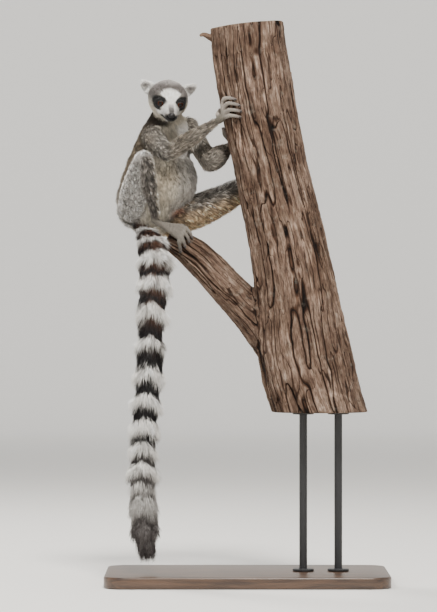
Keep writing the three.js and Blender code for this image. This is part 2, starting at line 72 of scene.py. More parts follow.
# The tail's axis from inside the rump to its tip.
TAIL = [
    (-180, 34, 655), (-191, 14, 642), (-188, -14, 626), (-174, -38, 606), (-164, -48, 576),
    (-163.5, -48, 535), (-167, -48, 482), (-170, -48, 420), (-172, -48, 367), (-177, -48, 314),
    (-181, -48, 270), (-183.5, -48, 226), (-184, -48, 181), (-182, -48, 128), (-179.5, -48, 94),
    (-177, -48, 50),
]
# Heights at which each white ring of the tail ends and starts, from the rump down.
WHITE_RINGS = [
    (627, 638), (606, 620), (565, 588), (518, 541), (468, 491), (415, 433), (358, 380),
    (311, 334), (263, 291), (226, 249), (192, 213), (165, 183), (124, 161),
]
RING_DROP = 8  # how far the hairs of a ring hang below their roots
RING_PEAK = 11  # how much higher a ring stands in its middle than at its sides
RING_TILT = 1.5  # and how much lower on its +X side

TRUNK = [
    (140, 0, 270), (122, 0, 323), (104, 0, 394), (95, 0, 450), (84, 0, 535), (71, 0, 606),
    (55, 0, 676), (39, 0, 748), (18, 0, 854), (6, 0, 930), (0, 0, 1000),
]
TRUNK_RADIUS = 68
TRUNK_FOOT = 302  # the height of its level foot
TRUNK_TOP, TRUNK_TOP_FACES = (0, 0, 986), (-0.107, 0, 0.994)  # its sawn top, and its way
BRANCH = [
    (66, 2, 422), (-5, 9, 490), (-40, 13, 526), (-80, 16, 570), (-112, 18, 596), (-135, 20, 607),
]
BRANCH_RADIUS = 31

BOARD = {"length": 500, "depth": 300, "thickness": 20, "corner": 36, "bevel": 3}
ROD = {"radius": 7, "flange": 19, "flange_height": 4, "low": 20.35, "high": 301.65}

# How far the skin lies inside the solids, in mm, and how long the coat's tufts are.
COAT_DEPTH = {
    "head": 2.6, "ear": 1.9, "neck": 8.0, "chest": 7.5, "abdomen": 9.0, "rump": 8.5,
    "upper_arm": 5.0, "forearm": 4.5, "hand": 1.0, "thigh": 7.5, "shin": 5.0, "foot": 1.2,
    "tail_base": 14.0, "tail_upper": 19.0, "tail_lower": 18.0, "tail_tip": 16.0,
}
TUFT_LENGTH = {
    "head": 6.0, "ear": 5.0, "neck": 13.0, "chest": 15.0, "abdomen": 16.0, "rump": 14.0,
    "upper_arm": 11.0, "forearm": 9.5, "hand": 3.2, "thigh": 12.5, "shin": 10.0, "foot": 3.4,
    "tail_base": 24.0, "tail_upper": 28.0, "tail_lower": 27.0, "tail_tip": 31.0,
}
SKIN_SEAM = 0.5  # thickens each solid, so that neighbours run into each other
FIRST_VOXEL, SKIN_VOXEL = 2.4, 1.4
SKIN_TRIANGLES = 112000  # before the face is made finer
BARK_VOXEL, BARK_TRIANGLES = 1.6, 192000

# The digits. A place on the trunk is a height, an angle in degrees from its -X side towards -Y
# and a lift off the bark. A place on the branch is a share of its last length, an angle from its
# top towards -Y and a lift.
PALM_SIZE, DIGIT_ROOT, DIGIT_TIP = 5.6, 3.4, 2.6
THUMB = 1.22  # how much thicker a thumb or a first toe is
HANDS = {
    "right": {
        "heel": (821, 27, 9.0),
        "fingers": [
            [(842, 31, 7.5), (851, 39, 8), (852, 48, 5.5), (850, 55, 3.2)],
            [(835.5, 33, 7.5), (842.5, 43, 8), (842.5, 53, 5.5), (840.5, 60, 3.2)],
            [(829, 34, 7), (833, 44, 8), (832.5, 53, 5.5), (830.5, 60, 3.2)],
            [(822, 34, 7), (823.5, 43, 7.5), (822.5, 51, 5), (820.5, 57, 3.2)],
            [(821, 18, 9), (828, 2, 8), (835, -16, 6), (839, -30, 3.8)],
        ],
    },
    "left": {
        "heel": (783, -44, 9.0),
        "fingers": [
            [(806, -50, 7.5), (815, -66, 8), (817, -82, 5.5), (816, -94, 3.2)],
            [(800, -52, 7.5), (806, -69, 8), (807, -87, 5.5), (806, -99, 3.2)],
            [(793, -53, 7), (795, -70, 8), (794, -87, 5.5), (793, -98, 3.2)],
            [(786, -52, 7), (784, -66, 7.5), (781, -80, 5), (780, -90, 3.2)],
            [(786, -36, 9), (793, -22, 8), (799, -12, 6), (803, -3, 3.6)],
        ],
    },
}
FOOT_ON_TRUNK = {
    "heel": (642, -96, 11.0),
    "toes": [
        [(667, -104, 8), (682, -112, 8), (692, -124, 6), (696, -131, 3.6)],
        [(660, -106, 8), (671, -117, 8), (678, -131, 6), (680, -139, 3.6)],
        [(653, -107, 8), (659, -120, 8), (663, -136, 6), (664, -145, 3.6)],
        [(646, -106, 8), (648, -121, 8), (649, -136, 6), (649, -145, 3.6)],
        [(644, -92, 10), (655, -74, 9), (664, -58, 6.5), (668, -46, 4.4)],
    ],
}
FOOT_ON_BRANCH = {
    "heel": (-164, -27, 642),
    "arch": (-153, -21, 634),
    "toes": [
        [(0.62, 26, 8.5), (0.30, 28, 9), (-0.05, 34, 7), (-0.30, 42, 3.6)],
        [(0.58, 42, 8.5), (0.26, 48, 9), (-0.08, 57, 7), (-0.30, 67, 3.6)],
        [(0.54, 58, 8.5), (0.26, 68, 9), (-0.02, 80, 7), (-0.20, 91, 3.6)],
        [(0.50, 74, 8.5), (0.30, 87, 9), (0.08, 101, 6.5), (-0.05, 113, 3.6)],
        [(0.80, 22, 9.5), (0.62, -2, 9.5), (0.45, -24, 6.5), (0.38, -38, 4.4)],
    ],
}
EAR_DEPTH, EAR_DROP = 1.0, 3.0  # how far an ear's flesh lies inside the solid ear and below it
EAR_HOLLOW = 3.0  # how deep the front of an ear is dished
EAR_MIDDLE = (39, 18)  # the hollow's middle, aside and up from the head's centre
MUZZLE_SLIM = 0.17  # the share by which the muzzle is narrower than its solid
NOSE_SEAT = 3.2  # how far the skin is cut back behind the nose pad
PADS = [(6.5, 56, -14.5), (9.5, 50, -15)]  # the whisker pads' line, on the animal's left
NOSE_REACH = [0.85, 0.6, 1.0]  # how much each axis counts in the distance from the nose's middle

# Colours
WHITE = "#f6f3ee"
CREAM = "#d2c9b8"
TAN = "#b08f66"
GREY = "#86817a"
PALE_GREY = "#cdc8c2"
BROWN_GREY = "#6a5f50"
DARK_BROWN_AND_SHADE = "#2f2820"
BLACK = "#0f0d0e"
BARE_SKIN = "#6f6260"
FLANK_GREY_AND_SHADE, FOREARM_GREY, SHIN_SHADE_GREY, PALM_GREY_AND_SHADE = "#aaa6a1", "#78726a", "#5a544f", "#6b655b"
FOLD_DARK_SHADE, FOLD_PINK = "#341610", "#bd8a74"
CAP_LIT_GREY, CAP_EDGE = "#a09b97", "#57504d"
BRIDGE_GREY, BRIDGE_DARK, SMUDGE = "#a19c9a", "#35302e", "#6f6a68"
BAND_BLACK, BAND_RUST, BAND_FADED, TIP_STREAK = "#171416", "#75503c", "#514c4b", "#8a8583"


# ------------------------------------------------------------------ small tools
def linear(hexes):
    """An sRGB hex colour as linear red, green and blue."""
    value = np.array([int(hexes[i:i + 2], 16) for i in (1, 3, 5)]) / 255.0
    return np.where(value <= 0.04045, value / 12.92, ((value + 0.055) / 1.055) ** 2.4)


def ramp(x, low, high):
    """0 below low, 1 above high, and a smooth rise between."""
    t = np.clip((x - low) / (high - low), 0.0, 1.0)
    return t * t * (3.0 - 2.0 * t)


def mix(a, b, share):
    """From a to b by each point's share."""
    share = np.asarray(share)[..., None]
    return a * (1.0 - share) + b * share


def over(base, *layers):
    """A colour, or one for each point, with hex colours laid over it by each point's share."""
    colour = linear(base) if isinstance(base, str) else base
    for hexes, share in layers:
        colour = mix(colour, linear(hexes), share)
    return colour


def between(a, b, share):
    """The same for plain numbers."""
    return a + (b - a) * share


def unit(vectors):
    return vectors / np.maximum(np.linalg.norm(vectors, axis=-1, keepdims=True), 1e-12)


def dot(a, b):
    return np.sum(a * b, axis=-1)


def hill(*offsets):
    """1 where all offsets are 0, and less further off."""
    return np.exp(-sum(offset**2 for offset in offsets))


def lattice(cell, seed):
    """A fixed pseudo-random value from -1 to 1 for each whole-number cell."""
    h = (
        cell[..., 0] * 73856093 ^ cell[..., 1] * 19349663 ^ cell[..., 2] * 83492791 ^ seed * 971
    ) & 0xFFFFFFFF
    h = (h ^ (h >> 13)) * 1274126177 & 0xFFFFFFFF
    h = (h ^ (h >> 16)) * 2246822519 & 0xFFFFFFFF
    return ((h >> 8) & 0xFFFF) / 32767.5 - 1.0


def noise(points, size, seed=0):
    """Smooth noise from -1 to 1 over points, with features of about that size."""
    place = points / size
    cell = np.floor(place).astype(np.int64)
    t = place - cell
    t = t * t * (3.0 - 2.0 * t)
    total = np.zeros(len(points))
    for corner in range(8):
        step = np.array([corner & 1, corner >> 1 & 1, corner >> 2 & 1])
        weight = np.prod(np.where(step == 1, t, 1.0 - t), axis=1)
        total += weight * lattice(cell + step, seed)
    return total


def layered(points, size, seed=0, layers=3):
    """Noise with finer layers added."""
    return sum(noise(points, size / 2**k, seed + k) / 2**k for k in range(layers)) / 1.6


def lines_along(grain, size, seed):
    """Signed distance in mm from the lines along which a slow wave crosses zero."""
    here = noise(grain, size, seed)
    steps = [noise(grain + step, size, seed) - here for step in ([1.0, 0, 0], [0, 1.0, 0])]
    return here / np.maximum(np.hypot(*steps), 0.004)


def along_line(points, line):
    """For each point, in mm: how far along the line it is, its offset from it, and the way on."""
    line = np.array(line, dtype=float)
    step = np.diff(line, axis=0)
    length = np.linalg.norm(step, axis=1)
    start = np.concatenate([[0.0], np.cumsum(length)])
    best = np.full(len(points), 1e9)
    place = np.zeros(len(points))
    offset = np.zeros((len(points), 3))
    way = np.zeros((len(points), 3))
    for i in range(len(step)):
        t = np.clip((points - line[i]) @ step[i] / length[i] ** 2, 0.0, 1.0)
        out = points - line[i] - t[:, None] * step[i]
        gap = np.linalg.norm(out, axis=1)
        near = gap < best
        best = np.where(near, gap, best)
        place = np.where(near, start[i] + t * length[i], place)
        offset[near] = out[near]
        way[near] = step[i] / length[i]
    return place, offset, way


def rows_of(items, key, width, kind=float):
    """A property of all items of a mesh, one row each."""
    values = np.empty(len(items) * width, dtype=kind)
    items.foreach_get(key, values)
    return values.reshape(-1, width)


def points_of(mesh):
    return rows_of(mesh.vertices, "co", 3)


def normals_of(mesh):
    return rows_of(mesh.vertices, "normal", 3)


def edges_of(mesh):
    return rows_of(mesh.edges, "vertices", 2, np.int64)


def triangles_of(mesh, of="vertices"):
    mesh.calc_loop_triangles()
    return rows_of(mesh.loop_triangles, of, 3, np.int64)


def set_points(mesh, points):
    mesh.vertices.foreach_set("co", points.astype(np.float32).ravel())
    mesh.update()


def keep(mesh, name, values):
    """Keeps a number, vector or colour for each point of a mesh."""
    wide = values.reshape(len(values), -1)
    if wide.shape[1] == 1:
        mesh.attributes.new(name, "FLOAT", "POINT").data.foreach_set("value", wide.ravel())
    elif name == "tint":
        rgba = np.ones((len(wide), 4))
        rgba[:, :3] = wide
        layer = mesh.color_attributes.new(name, "FLOAT_COLOR", "POINT")
        layer.data.foreach_set("color", rgba.ravel())
    else:
        layer = mesh.attributes.new(name, "FLOAT_VECTOR", "POINT")
        layer.data.foreach_set("vector", wide.ravel())


def spread(values, edges, rounds):
    """Evens values over neighbouring points of a mesh."""
    flat = values.reshape(len(values), -1).astype(float)
    a, b = edges[:, 0], edges[:, 1]
    count = 1.0 + np.bincount(edges.ravel(), minlength=len(flat))
    for _ in range(rounds):
        total = flat.copy()
        for k in range(flat.shape[1]):
            total[:, k] += np.bincount(a, flat[b, k], len(flat))
            total[:, k] += np.bincount(b, flat[a, k], len(flat))
        flat = total / count[:, None]
    return flat.reshape(values.shape)


def new_piece(name, mesh):
    piece = bpy.data.objects.new(name, mesh)
    bpy.context.scene.collection.objects.link(piece)
    return piece


def from_bmesh(name, bm, smooth=True):
    mesh = bpy.data.meshes.new(name)
    bm.to_mesh(mesh)
    bm.free()
    if smooth:
        mesh.shade_smooth()
    return new_piece(name, mesh)


def turned(profile, steps, joint):
    """A form turned about the Z axis from a profile of radius and height in metres."""
    bm = bmesh.new()
    verts = [bm.verts.new((radius, 0, height)) for radius, height in profile]
    line = [bm.edges.new(pair) for pair in zip(verts, verts[1:])]
    bmesh.ops.spin(
        bm, geom=verts + line, cent=(0, 0, 0), axis=(0, 0, 1), angle=2 * math.pi, steps=steps,
        use_merge=True,
    )
    bmesh.ops.remove_doubles(bm, verts=bm.verts, dist=joint)
    return bm


def settle(piece):
    """Applies a piece's modifiers to its mesh."""
    ready = piece.evaluated_get(bpy.context.evaluated_depsgraph_get())
    mesh = bpy.data.meshes.new_from_object(ready)
    old = piece.data
    piece.modifiers.clear()
    piece.data = mesh
    bpy.data.meshes.remove(old)


def remesh(piece, voxel, rounds):
    """Makes a piece one even closed mesh, and smooths it a little."""
    maker = piece.modifiers.new("even", "REMESH")
    maker.mode = "VOXEL"
    maker.voxel_size = voxel * MM
    if rounds:
        smoother = piece.modifiers.new("smooth", "SMOOTH")
        smoother.factor = 0.5
        smoother.iterations = rounds
    settle(piece)
    piece.data.shade_smooth()


def thin_out(piece, triangles):
    """Brings an even mesh of four-sided faces down to about that many triangles."""
    fewer = piece.modifiers.new("fewer", "DECIMATE")
    fewer.ratio = triangles / (2.0 * len(piece.data.polygons))
    settle(piece)
    piece.data.shade_smooth()


def joined_copy(name, names, thicken):
    """Closed copies of CAD nodes in one mesh, each thickened a little."""
    bm = bmesh.new()
    for node in names:
        part = bmesh.new()
        part.from_mesh(nodes[node].data)
        bmesh.ops.remove_doubles(part, verts=part.verts, dist=1e-6)
        part.normal_update()
        for v in part.verts:
            v.co += v.normal * thicken * MM
        mesh = bpy.data.meshes.new("part")
        part.to_mesh(mesh)
        part.free()
        bm.from_mesh(mesh)
        bpy.data.meshes.remove(mesh)
    return from_bmesh(name, bm)


def tree_of(points):
    tree = KDTree(len(points))
    for i, point in enumerate(points.tolist()):
        tree.insert(point, i)
    tree.balance()
    return tree


def nearest_in(tree, points):
    return np.array([tree.find(point)[1] for point in points.tolist()], dtype=np.int64)


def finish(piece, slot, material, *replaced):
    """Puts a finished piece on the part, in place of CAD nodes."""
    if material:
        piece.data.materials.clear()
        piece.data.materials.append(material)
    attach(piece, "root")
    if replaced:
        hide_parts(*replaced)
    return piece


# ------------------------------------------------------------------ the head's own frame
head_turn = (
    Matrix.Rotation(math.radians(HEAD_YAW), 3, "Z")
    @ Matrix.Rotation(math.radians(HEAD_PITCH), 3, "X")
    @ Matrix.Rotation(math.radians(HEAD_ROLL), 3, "Y")
)
HEAD_AXES = np.array([
    head_turn @ Vector((1, 0, 0)),
    head_turn @ Vector((0, -1, 0)),
    head_turn @ Vector((0, 0, 1)),
])  # left, forward, up


def level_way(degrees):
    """The level direction at an angle from -Y towards +X."""
    return np.array([math.sin(math.radians(degrees)), -math.cos(math.radians(degrees)), 0.0])


BODY_FRONT = level_way(BODY_YAW)


def on_head(*place):
    """A point in metres from its mm to the left, forward and up of the head's centre."""
    return (np.array(HEAD_AT) + np.array(place) @ HEAD_AXES) * MM


def in_head(points):
    """Points in metres as mm to the left, forward and up of the head's centre."""
    return (points / MM - np.array(HEAD_AT)) @ HEAD_AXES.T


def head_way(*way):
    return unit(np.array(way, dtype=float) @ HEAD_AXES)


def gaze(side):
    return head_way(SIGN[side] * 0.22, 1.0, 0.16)


def eye_frame(side):
    """Where an eye is, and its outward, upward and forward directions."""
    centre = on_head(SIGN[side] * EYE["side"], EYE["forward"], EYE["up"])
    ahead = gaze(side)
    rise = unit(head_way(0.0, 0.0, 1.0) - ahead * dot(head_way(0.0, 0.0, 1.0), ahead))
    out = np.cross(rise, ahead) * SIGN[side]
    out *= np.sign(dot(out, head_way(SIGN[side], 0.0, 0.0)))
    return centre, out, rise, ahead


def eye_share(points, side):
    """How far points are from the middle of an eye's opening: 1 is at the edge of the lids."""
    centre, out, rise, ahead = eye_frame(side)
    way = unit(points - centre) * EYE["radius"]
    across, high = dot(way, out) / EYE_OPENING[0], dot(way, rise) / EYE_OPENING[1]
    corner = np.abs(across) ** 2.2 + np.abs(high * (1.0 + 0.12 * across)) ** 1.8
    return np.where(dot(way, ahead) > 0, corner**0.5, 9.0)


# ------------------------------------------------------------------ the skin
PERCH = ["perch_trunk", "perch_branch"]
FLESH = sorted(n for n in nodes if not n.startswith(("stand_", "perch_", "nose", "eye_")))
TORSO = ("chest", "abdomen", "rump")
WHOLE_TAIL = ("tail_base", "tail_upper", "tail_lower", "tail_tip")
PAWS = [n for n in FLESH if n.startswith(("hand_", "foot_"))]
LIMBS = {
    "upper_arm": (SHOULDER, ELBOW), "forearm": (ELBOW, WRIST),
    "thigh": (HIP, KNEE), "shin": (KNEE, ANKLE),
}


def kind_of(node):
    """A node's name without its side."""
    for side in SIDES:
        node = node.removesuffix("_" + side)
    return node


def nearest_node(points, names):
    """The index of the CAD node whose surface is nearest to each point."""
    corners, faces, owner = [], [], []
    count = 0
    for i, name in enumerate(names):
        mesh = nodes[name].data
        faces.append(triangles_of(mesh) + count)
        corners.append(points_of(mesh))
        owner.append(np.full(len(faces[-1]), i))
        count += len(corners[-1])
    owner = np.concatenate(owner)
    corners, faces = np.concatenate(corners).tolist(), np.concatenate(faces).tolist()
    tree = BVHTree.FromPolygons(corners, faces, all_triangles=True)
    return owner[[tree.find_nearest(point)[2] for point in points.tolist()]]


def wood_tree():
    mesh = joined_copy("wood", PERCH, 0.0)
    corners, faces = points_of(mesh.data).tolist(), triangles_of(mesh.data).tolist()
    bpy.data.objects.remove(mesh)
    return BVHTree.FromPolygons(corners, faces, all_triangles=True)


WOOD = wood_tree()


def on_wood(centre, way, zero, angle, lift):
    """A point in mm off the wood's surface, from its axis outwards at an angle towards -Y."""
    near = unit(np.array([0.0, -1.0, 0.0]) + way * way[1])
    zero = unit(zero - way * dot(zero, way))
    out = zero * math.cos(math.radians(angle)) + near * math.sin(math.radians(angle))
    far = Vector((centre + out * 150) * MM)
    hit = WOOD.ray_cast(far, Vector(-out))[0]
    return np.array(hit) / MM + out * lift


def on_trunk(height, angle, lift):
    line = np.array(TRUNK, dtype=float)
    level = height + 0.19 * (TRUNK_RADIUS + lift) * math.cos(math.radians(angle))
    centre = np.array([np.interp(level, line[:, 2], line[:, 0]), 0.0, level])
    step = np.array([np.interp(level + 10, line[:, 2], line[:, 0]), 0.0, level + 10])
    return on_wood(centre, unit(step - centre), np.array([-1.0, 0, 0]), angle, lift)


def on_branch(share, angle, lift):
    last, end = np.array(BRANCH[-2], dtype=float), np.array(BRANCH[-1], dtype=float)
    way = unit(end - last)
    return on_wood(last + (end - last) * share, way, np.array([0.0, 0, 1.0]), angle, lift)


def digit_paths(node):
    """The lines in mm that a paw's bones follow, each from the wrist or ankle to a tip."""
    kind, side = node.split("_")
    if kind == "hand":
        start = [np.array(WRIST[side]), on_trunk(*HANDS[side]["heel"])]
        return [start + [on_trunk(*p) for p in digit] for digit in HANDS[side]["fingers"]]
    if side == "left":
        start = [np.array(ANKLE[side]) + [-8, 2, -9], on_trunk(*FOOT_ON_TRUNK["heel"])]
        return [start + [on_trunk(*p) for p in digit] for digit in FOOT_ON_TRUNK["toes"]]
    start = [np.array(FOOT_ON_BRANCH["heel"]), np.array(FOOT_ON_BRANCH["arch"])]
    return [start + [on_branch(*p) for p in digit] for digit in FOOT_ON_BRANCH["toes"]]


def smooth_line(line, count):
    """Points along a Catmull-Rom curve through a line's points."""
    line = np.array(line)
    ends = np.concatenate([[2 * line[0] - line[1]], line, [2 * line[-1] - line[-2]]])
    t = np.linspace(0, len(line) - 1 - 1e-6, count)
    i = t.astype(int)
    f = (t - i)[:, None]
    a, b, c, d = (ends[i + k] for k in range(4))
    return 0.5 * (
        2 * b + (c - a) * f + (2 * a - 5 * b + 4 * c - d) * f**2 + (3 * b - a - 3 * c + d) * f**3
    )


def paw_form(node):
    """Flesh beads along each digit, which the remesh runs together."""
    bm = bmesh.new()
    for k, path in enumerate(digit_paths(node)):
        thumb = THUMB if k == 4 else 1.0
        root, tip = DIGIT_ROOT * thumb, DIGIT_TIP * thumb
        sizes = [PALM_SIZE + 0.6, PALM_SIZE, root + 0.5, root, (root + tip) / 2, tip]
        beads = smooth_line(path, 34)
        for t, bead in zip(np.linspace(0, 5, 34), beads):
            size = np.interp(t, range(6), sizes)
            size += 0.35 * hill((t - 3.0) / 0.22) + 0.3 * hill((t - 4.0) / 0.2)  # the knuckles
            at = Matrix.Translation(Vector(bead) * MM)
            bmesh.ops.create_icosphere(bm, subdivisions=2, radius=size * MM, matrix=at)
    return from_bmesh(node + "_form", bm)


def ear_form(node):
    """An ear's flesh: the solid ear, thinned, rounded, dropped a little and dished in front."""
    form = joined_copy(node + "_form", [node], -EAR_DEPTH)
    rounder = form.modifiers.new("rounder", "SUBSURF")
    rounder.levels = rounder.render_levels = 2
    settle(form)
    points = points_of(form.data) - HEAD_AXES[2] * EAR_DROP * MM
    place = in_head(points)
    aside, up = np.abs(place[:, 0]) - EAR_MIDDLE[0], place[:, 2] - EAR_MIDDLE[1]
    off = (aside / 6.0) ** 2 + (up / 7.5) ** 2
    front = ramp(dot(normals_of(form.data), HEAD_AXES[1]), 0.1, 0.6)
    dish = EAR_HOLLOW * np.exp(-(off**1.3)) * front
    set_points(form.data, points - HEAD_AXES[1] * dish[:, None] * MM)
    return form


def make_skin():
    """One skin inside the flesh nodes, by the coat's depth. Also gives its points' nodes."""
    body = [n for n in FLESH if kind_of(n) not in ("ear", "hand", "foot")]
    skin = joined_copy("skin", body + ["nose", "eye_right", "eye_left"], SKIN_SEAM)
    remesh(skin, FIRST_VOXEL, 5)
    points, edges = points_of(skin.data), edges_of(skin.data)
    owner = np.array([FLESH.index(n) for n in body])[nearest_node(points, body)]
    depth = np.array([COAT_DEPTH[kind_of(n)] for n in FLESH])[owner]
    depth = spread(depth, edges, 12)
    place = in_head(points)
    depth *= 1.0 - 0.5 * ramp(place[:, 1], 24, 40) * (np.linalg.norm(place, axis=1) < 90)
    inward = unit(spread(normals_of(skin.data), edges, 3))
    set_points(skin.data, points - inward * depth[:, None] * MM)
    found, owners, depths = [points_of(skin.data)], [owner], [depth]
    whole = bmesh.new()
    whole.from_mesh(skin.data)
    for node in [n for n in FLESH if n not in body]:
        form = ear_form(node) if kind_of(node) == "ear" else paw_form(node)
        whole.from_mesh(form.data)
        found.append(points_of(form.data))
        owners.append(np.full(len(found[-1]), FLESH.index(node)))
        depths.append(np.full(len(found[-1]), COAT_DEPTH[kind_of(node)]))
        bpy.data.objects.remove(form)
    whole.to_mesh(skin.data)
    whole.free()
    remesh(skin, SKIN_VOXEL, 3)
    thin_out(skin, SKIN_TRIANGLES)
    refine_face(skin)
    match = nearest_in(tree_of(np.concatenate(found)), points_of(skin.data))
    owner, depth = np.concatenate(owners)[match], np.concatenate(depths)[match]
    return skin, owner, spread(depth, edges_of(skin.data), 3)


def refine_face(skin):
    """Finer faces on the face, and finer again round the eyes and the muzzle."""
    for fine in (False, True):
        points = points_of(skin.data)
        place = in_head(points)
        near = np.linalg.norm(place, axis=1) < 80
        if fine:
            eyes = np.minimum(eye_share(points, "right"), eye_share(points, "left")) < 3.2
            chosen = near & ((eyes & (place[:, 1] > 18)) | (place[:, 1] > 44))
        else:
            chosen = near & (place[:, 1] > 10)
        bm = bmesh.new()
        bm.from_mesh(skin.data)
        bm.edges.ensure_lookup_table()
        pairs = edges_of(skin.data)
        edges = [bm.edges[i] for i in np.nonzero(chosen[pairs].all(axis=1))[0]]
        bmesh.ops.subdivide_edges(bm, edges=edges, cuts=1, use_grid_fill=True)
        bm.to_mesh(skin.data)
        bm.free()
    pairs = edges_of(skin.data)
    place = in_head(points_of(skin.data))
    even = spread(points_of(skin.data), pairs, 2)
    chosen = (np.linalg.norm(place, axis=1) < 80) & (place[:, 1] > 8)
    set_points(skin.data, np.where(chosen[:, None], even, points_of(skin.data)))


def off_line(place, line):
    """Distance in mm from the nearest point of a line in the head's frame, on either side."""
    mirrored = np.stack([np.abs(place[:, 0]), place[:, 1], place[:, 2]], axis=1)
    return np.linalg.norm(along_line(mirrored, line)[1], axis=1)


def shape_head(skin):
    """A slim muzzle, lids, brows, whisker pads and the line of the mouth."""
    points = points_of(skin.data)
    place = in_head(points)
    of_head = np.array([n == "head" for n in FLESH])[skin_owner]
    slim = MUZZLE_SLIM * ramp(place[:, 1], 34, 52) * of_head
    points = points - HEAD_AXES[0] * (slim * place[:, 0])[:, None] * MM
    place = in_head(points)
    gap = np.linalg.norm((place - NOSE_AT) * NOSE_REACH, axis=1)
    points = points - HEAD_AXES[1] * (NOSE_SEAT * of_head * ramp(gap, 8.0, 5.0))[:, None] * MM
    for side in SIDES:
        share = eye_share(points, side)
        way = points - eye_frame(side)[0]
        reach = np.linalg.norm(way, axis=1)
        lid = (EYE["radius"] + 1.5 - 0.9 * ramp(share, 1.3, 1.0)) * MM
        socket = (EYE["radius"] - 1.6) * MM
        goal = np.where(share < 1.0, socket, lid)
        pull = np.where(share < 1.0, 1.0, ramp(share, 2.1, 1.15)) * (reach < 0.017)
        goal = np.where(share < 1.0, goal, np.maximum(goal, reach) * 0.5 + goal * 0.5)
        points = points + unit(way) * ((goal - reach) * pull)[:, None]
    set_points(skin.data, points)
    place = in_head(points)
    normal = normals_of(skin.data)
    near = (np.linalg.norm(place, axis=1) < 90) & (place[:, 1] > 30)
    mouth = hill(off_line(place, MOUTH) / 0.95)
    pad = hill(off_line(place, PADS) / 4.2)
    lift = near * (1.3 * pad - 1.5 * mouth)
    set_points(skin.data, points + normal * lift[:, None] * MM)


skin, skin_owner, skin_depth = make_skin()
shape_head(skin)
skin_points = points_of(skin.data)
skin_edges = edges_of(skin.data)
skin_normals = unit(spread(normals_of(skin.data), skin_edges, 1))
skin_place = in_head(skin_points)


def owned_by(kinds, side=""):
    """True on the skin's points whose node is of those kinds, of one side or of both."""
    kinds = (kinds,) if isinstance(kinds, str) else kinds
    return np.array([kind_of(n) in kinds and n.endswith(side) for n in FLESH])[skin_owner]


# ------------------------------------------------------------------ the lie of the coat
def lie_of_coat():
    """The way that the hairs point, at each point of the skin."""
    points, normal = skin_points, skin_normals
    way = np.zeros_like(points)

    def set_way(mask, value):
        way[mask] = np.broadcast_to(value, points.shape)[mask]

    set_way(owned_by("head"), unit(points - on_head(*NOSE_AT)) + head_way(0, -0.5, -0.1))
    for side in SIDES:
        set_way(owned_by("ear", side), head_way(SIGN[side] * 0.72, -0.12, 0.62))
        for kind, (start, end) in LIMBS.items():
            set_way(owned_by(kind, side), unit(np.subtract(end[side], start[side])))
    set_way(owned_by(("neck",) + TORSO), np.array([0.0, 0.0, -1.0]) + normal * 0.2)
    far_thigh = owned_by("thigh", "left")
    way[far_thigh] = way[far_thigh] * 0.8 + np.array([0, 0, -0.75])
    offset, tail_way = along_line(points / MM, TAIL)[1:]
    # The hairs of the upper tail part down the middle of its near side.
    parted = np.sign(offset[:, 0] - 2) * ramp(np.abs(offset[:, 0] - 2), 0, 5)
    parted *= ramp(-offset[:, 1], 0, 8) * ramp(points[:, 2], 0.42, 0.54)
    tail_way = unit(tail_way) + np.array([0.55, 0, 0]) * parted[:, None]
    set_way(owned_by(WHOLE_TAIL), tail_way)
    offset, trunk_way = along_line(points / MM, TRUNK)[1:]
    round_trunk = unit(np.cross(trunk_way, offset))  # towards +angle, from -X by -Y
    round_trunk *= np.sign(dot(round_trunk, np.array([0.0, -1.0, 0.0])))[:, None]
    set_way(owned_by("hand", "right"), unit(round_trunk) + np.array([0.5, 0.0, 0.3]))
    set_way(owned_by("hand", "left"), np.array([0.5, 0.8, 0.3]))
    set_way(owned_by("foot", "right"), -along_line(points / MM, BRANCH)[2])
    set_way(owned_by("foot", "left"), np.array([-0.3, 0.3, 1.0]))
    way = spread(unit(way), skin_edges, 16)
    way -= normal * dot(way, normal)[:, None]
    return unit(way)


skin_lie = lie_of_coat()


# ------------------------------------------------------------------ the markings
def tail_rings():
    """How white the tail is, how far down each point lies in its own ring, and its offset."""
    offset = along_line(skin_points / MM, TAIL)[1]
    own = skin_points[:, 2] / MM
    level = own - offset[:, 2]
    level = between(level, own, ramp(level, 575, 608))
    reach = np.linalg.norm(offset, axis=1) + 1e-6
    side = offset[:, 0] / reach
    back = ramp(offset[:, 1] / reach, 0.2, 0.9)
    peak = RING_PEAK * (1.0 - np.abs(side) ** 1.5) * (1.0 - 0.8 * back) - RING_TILT * side
    peak *= np.interp(level, [580, 630], [1.0, 0.5])
    drop = np.interp(level, [560, 600, 625], [RING_DROP, -4.0, -9.0])
    height = level - drop - peak + RING_PEAK * 0.4
    height = height + 2.2 * noise(skin_points, 0.014, 31) + 1.5 * noise(skin_points, 0.005, 32)
    white = np.zeros(len(height))
    for low, high in WHITE_RINGS:
        blur = 1.4 if high > 200 else 3.5
        ring = ramp(height, low + 2 - blur, low + 2 + blur)
        ring = ring * ramp(height, high - 5 + blur, high - 5 - blur)
        white = np.maximum(white, ring * np.interp(low, [130, 190], [0.6, 1.0]))
    bounds = np.sort(np.array(WHITE_RINGS, dtype=float).ravel())
    slot = np.clip(np.searchsorted(bounds, height), 1, len(bounds) - 1)
    down = (bounds[slot] - height) / (bounds[slot] - bounds[slot - 1])
    return white, np.clip(down, 0.0, 1.0), offset


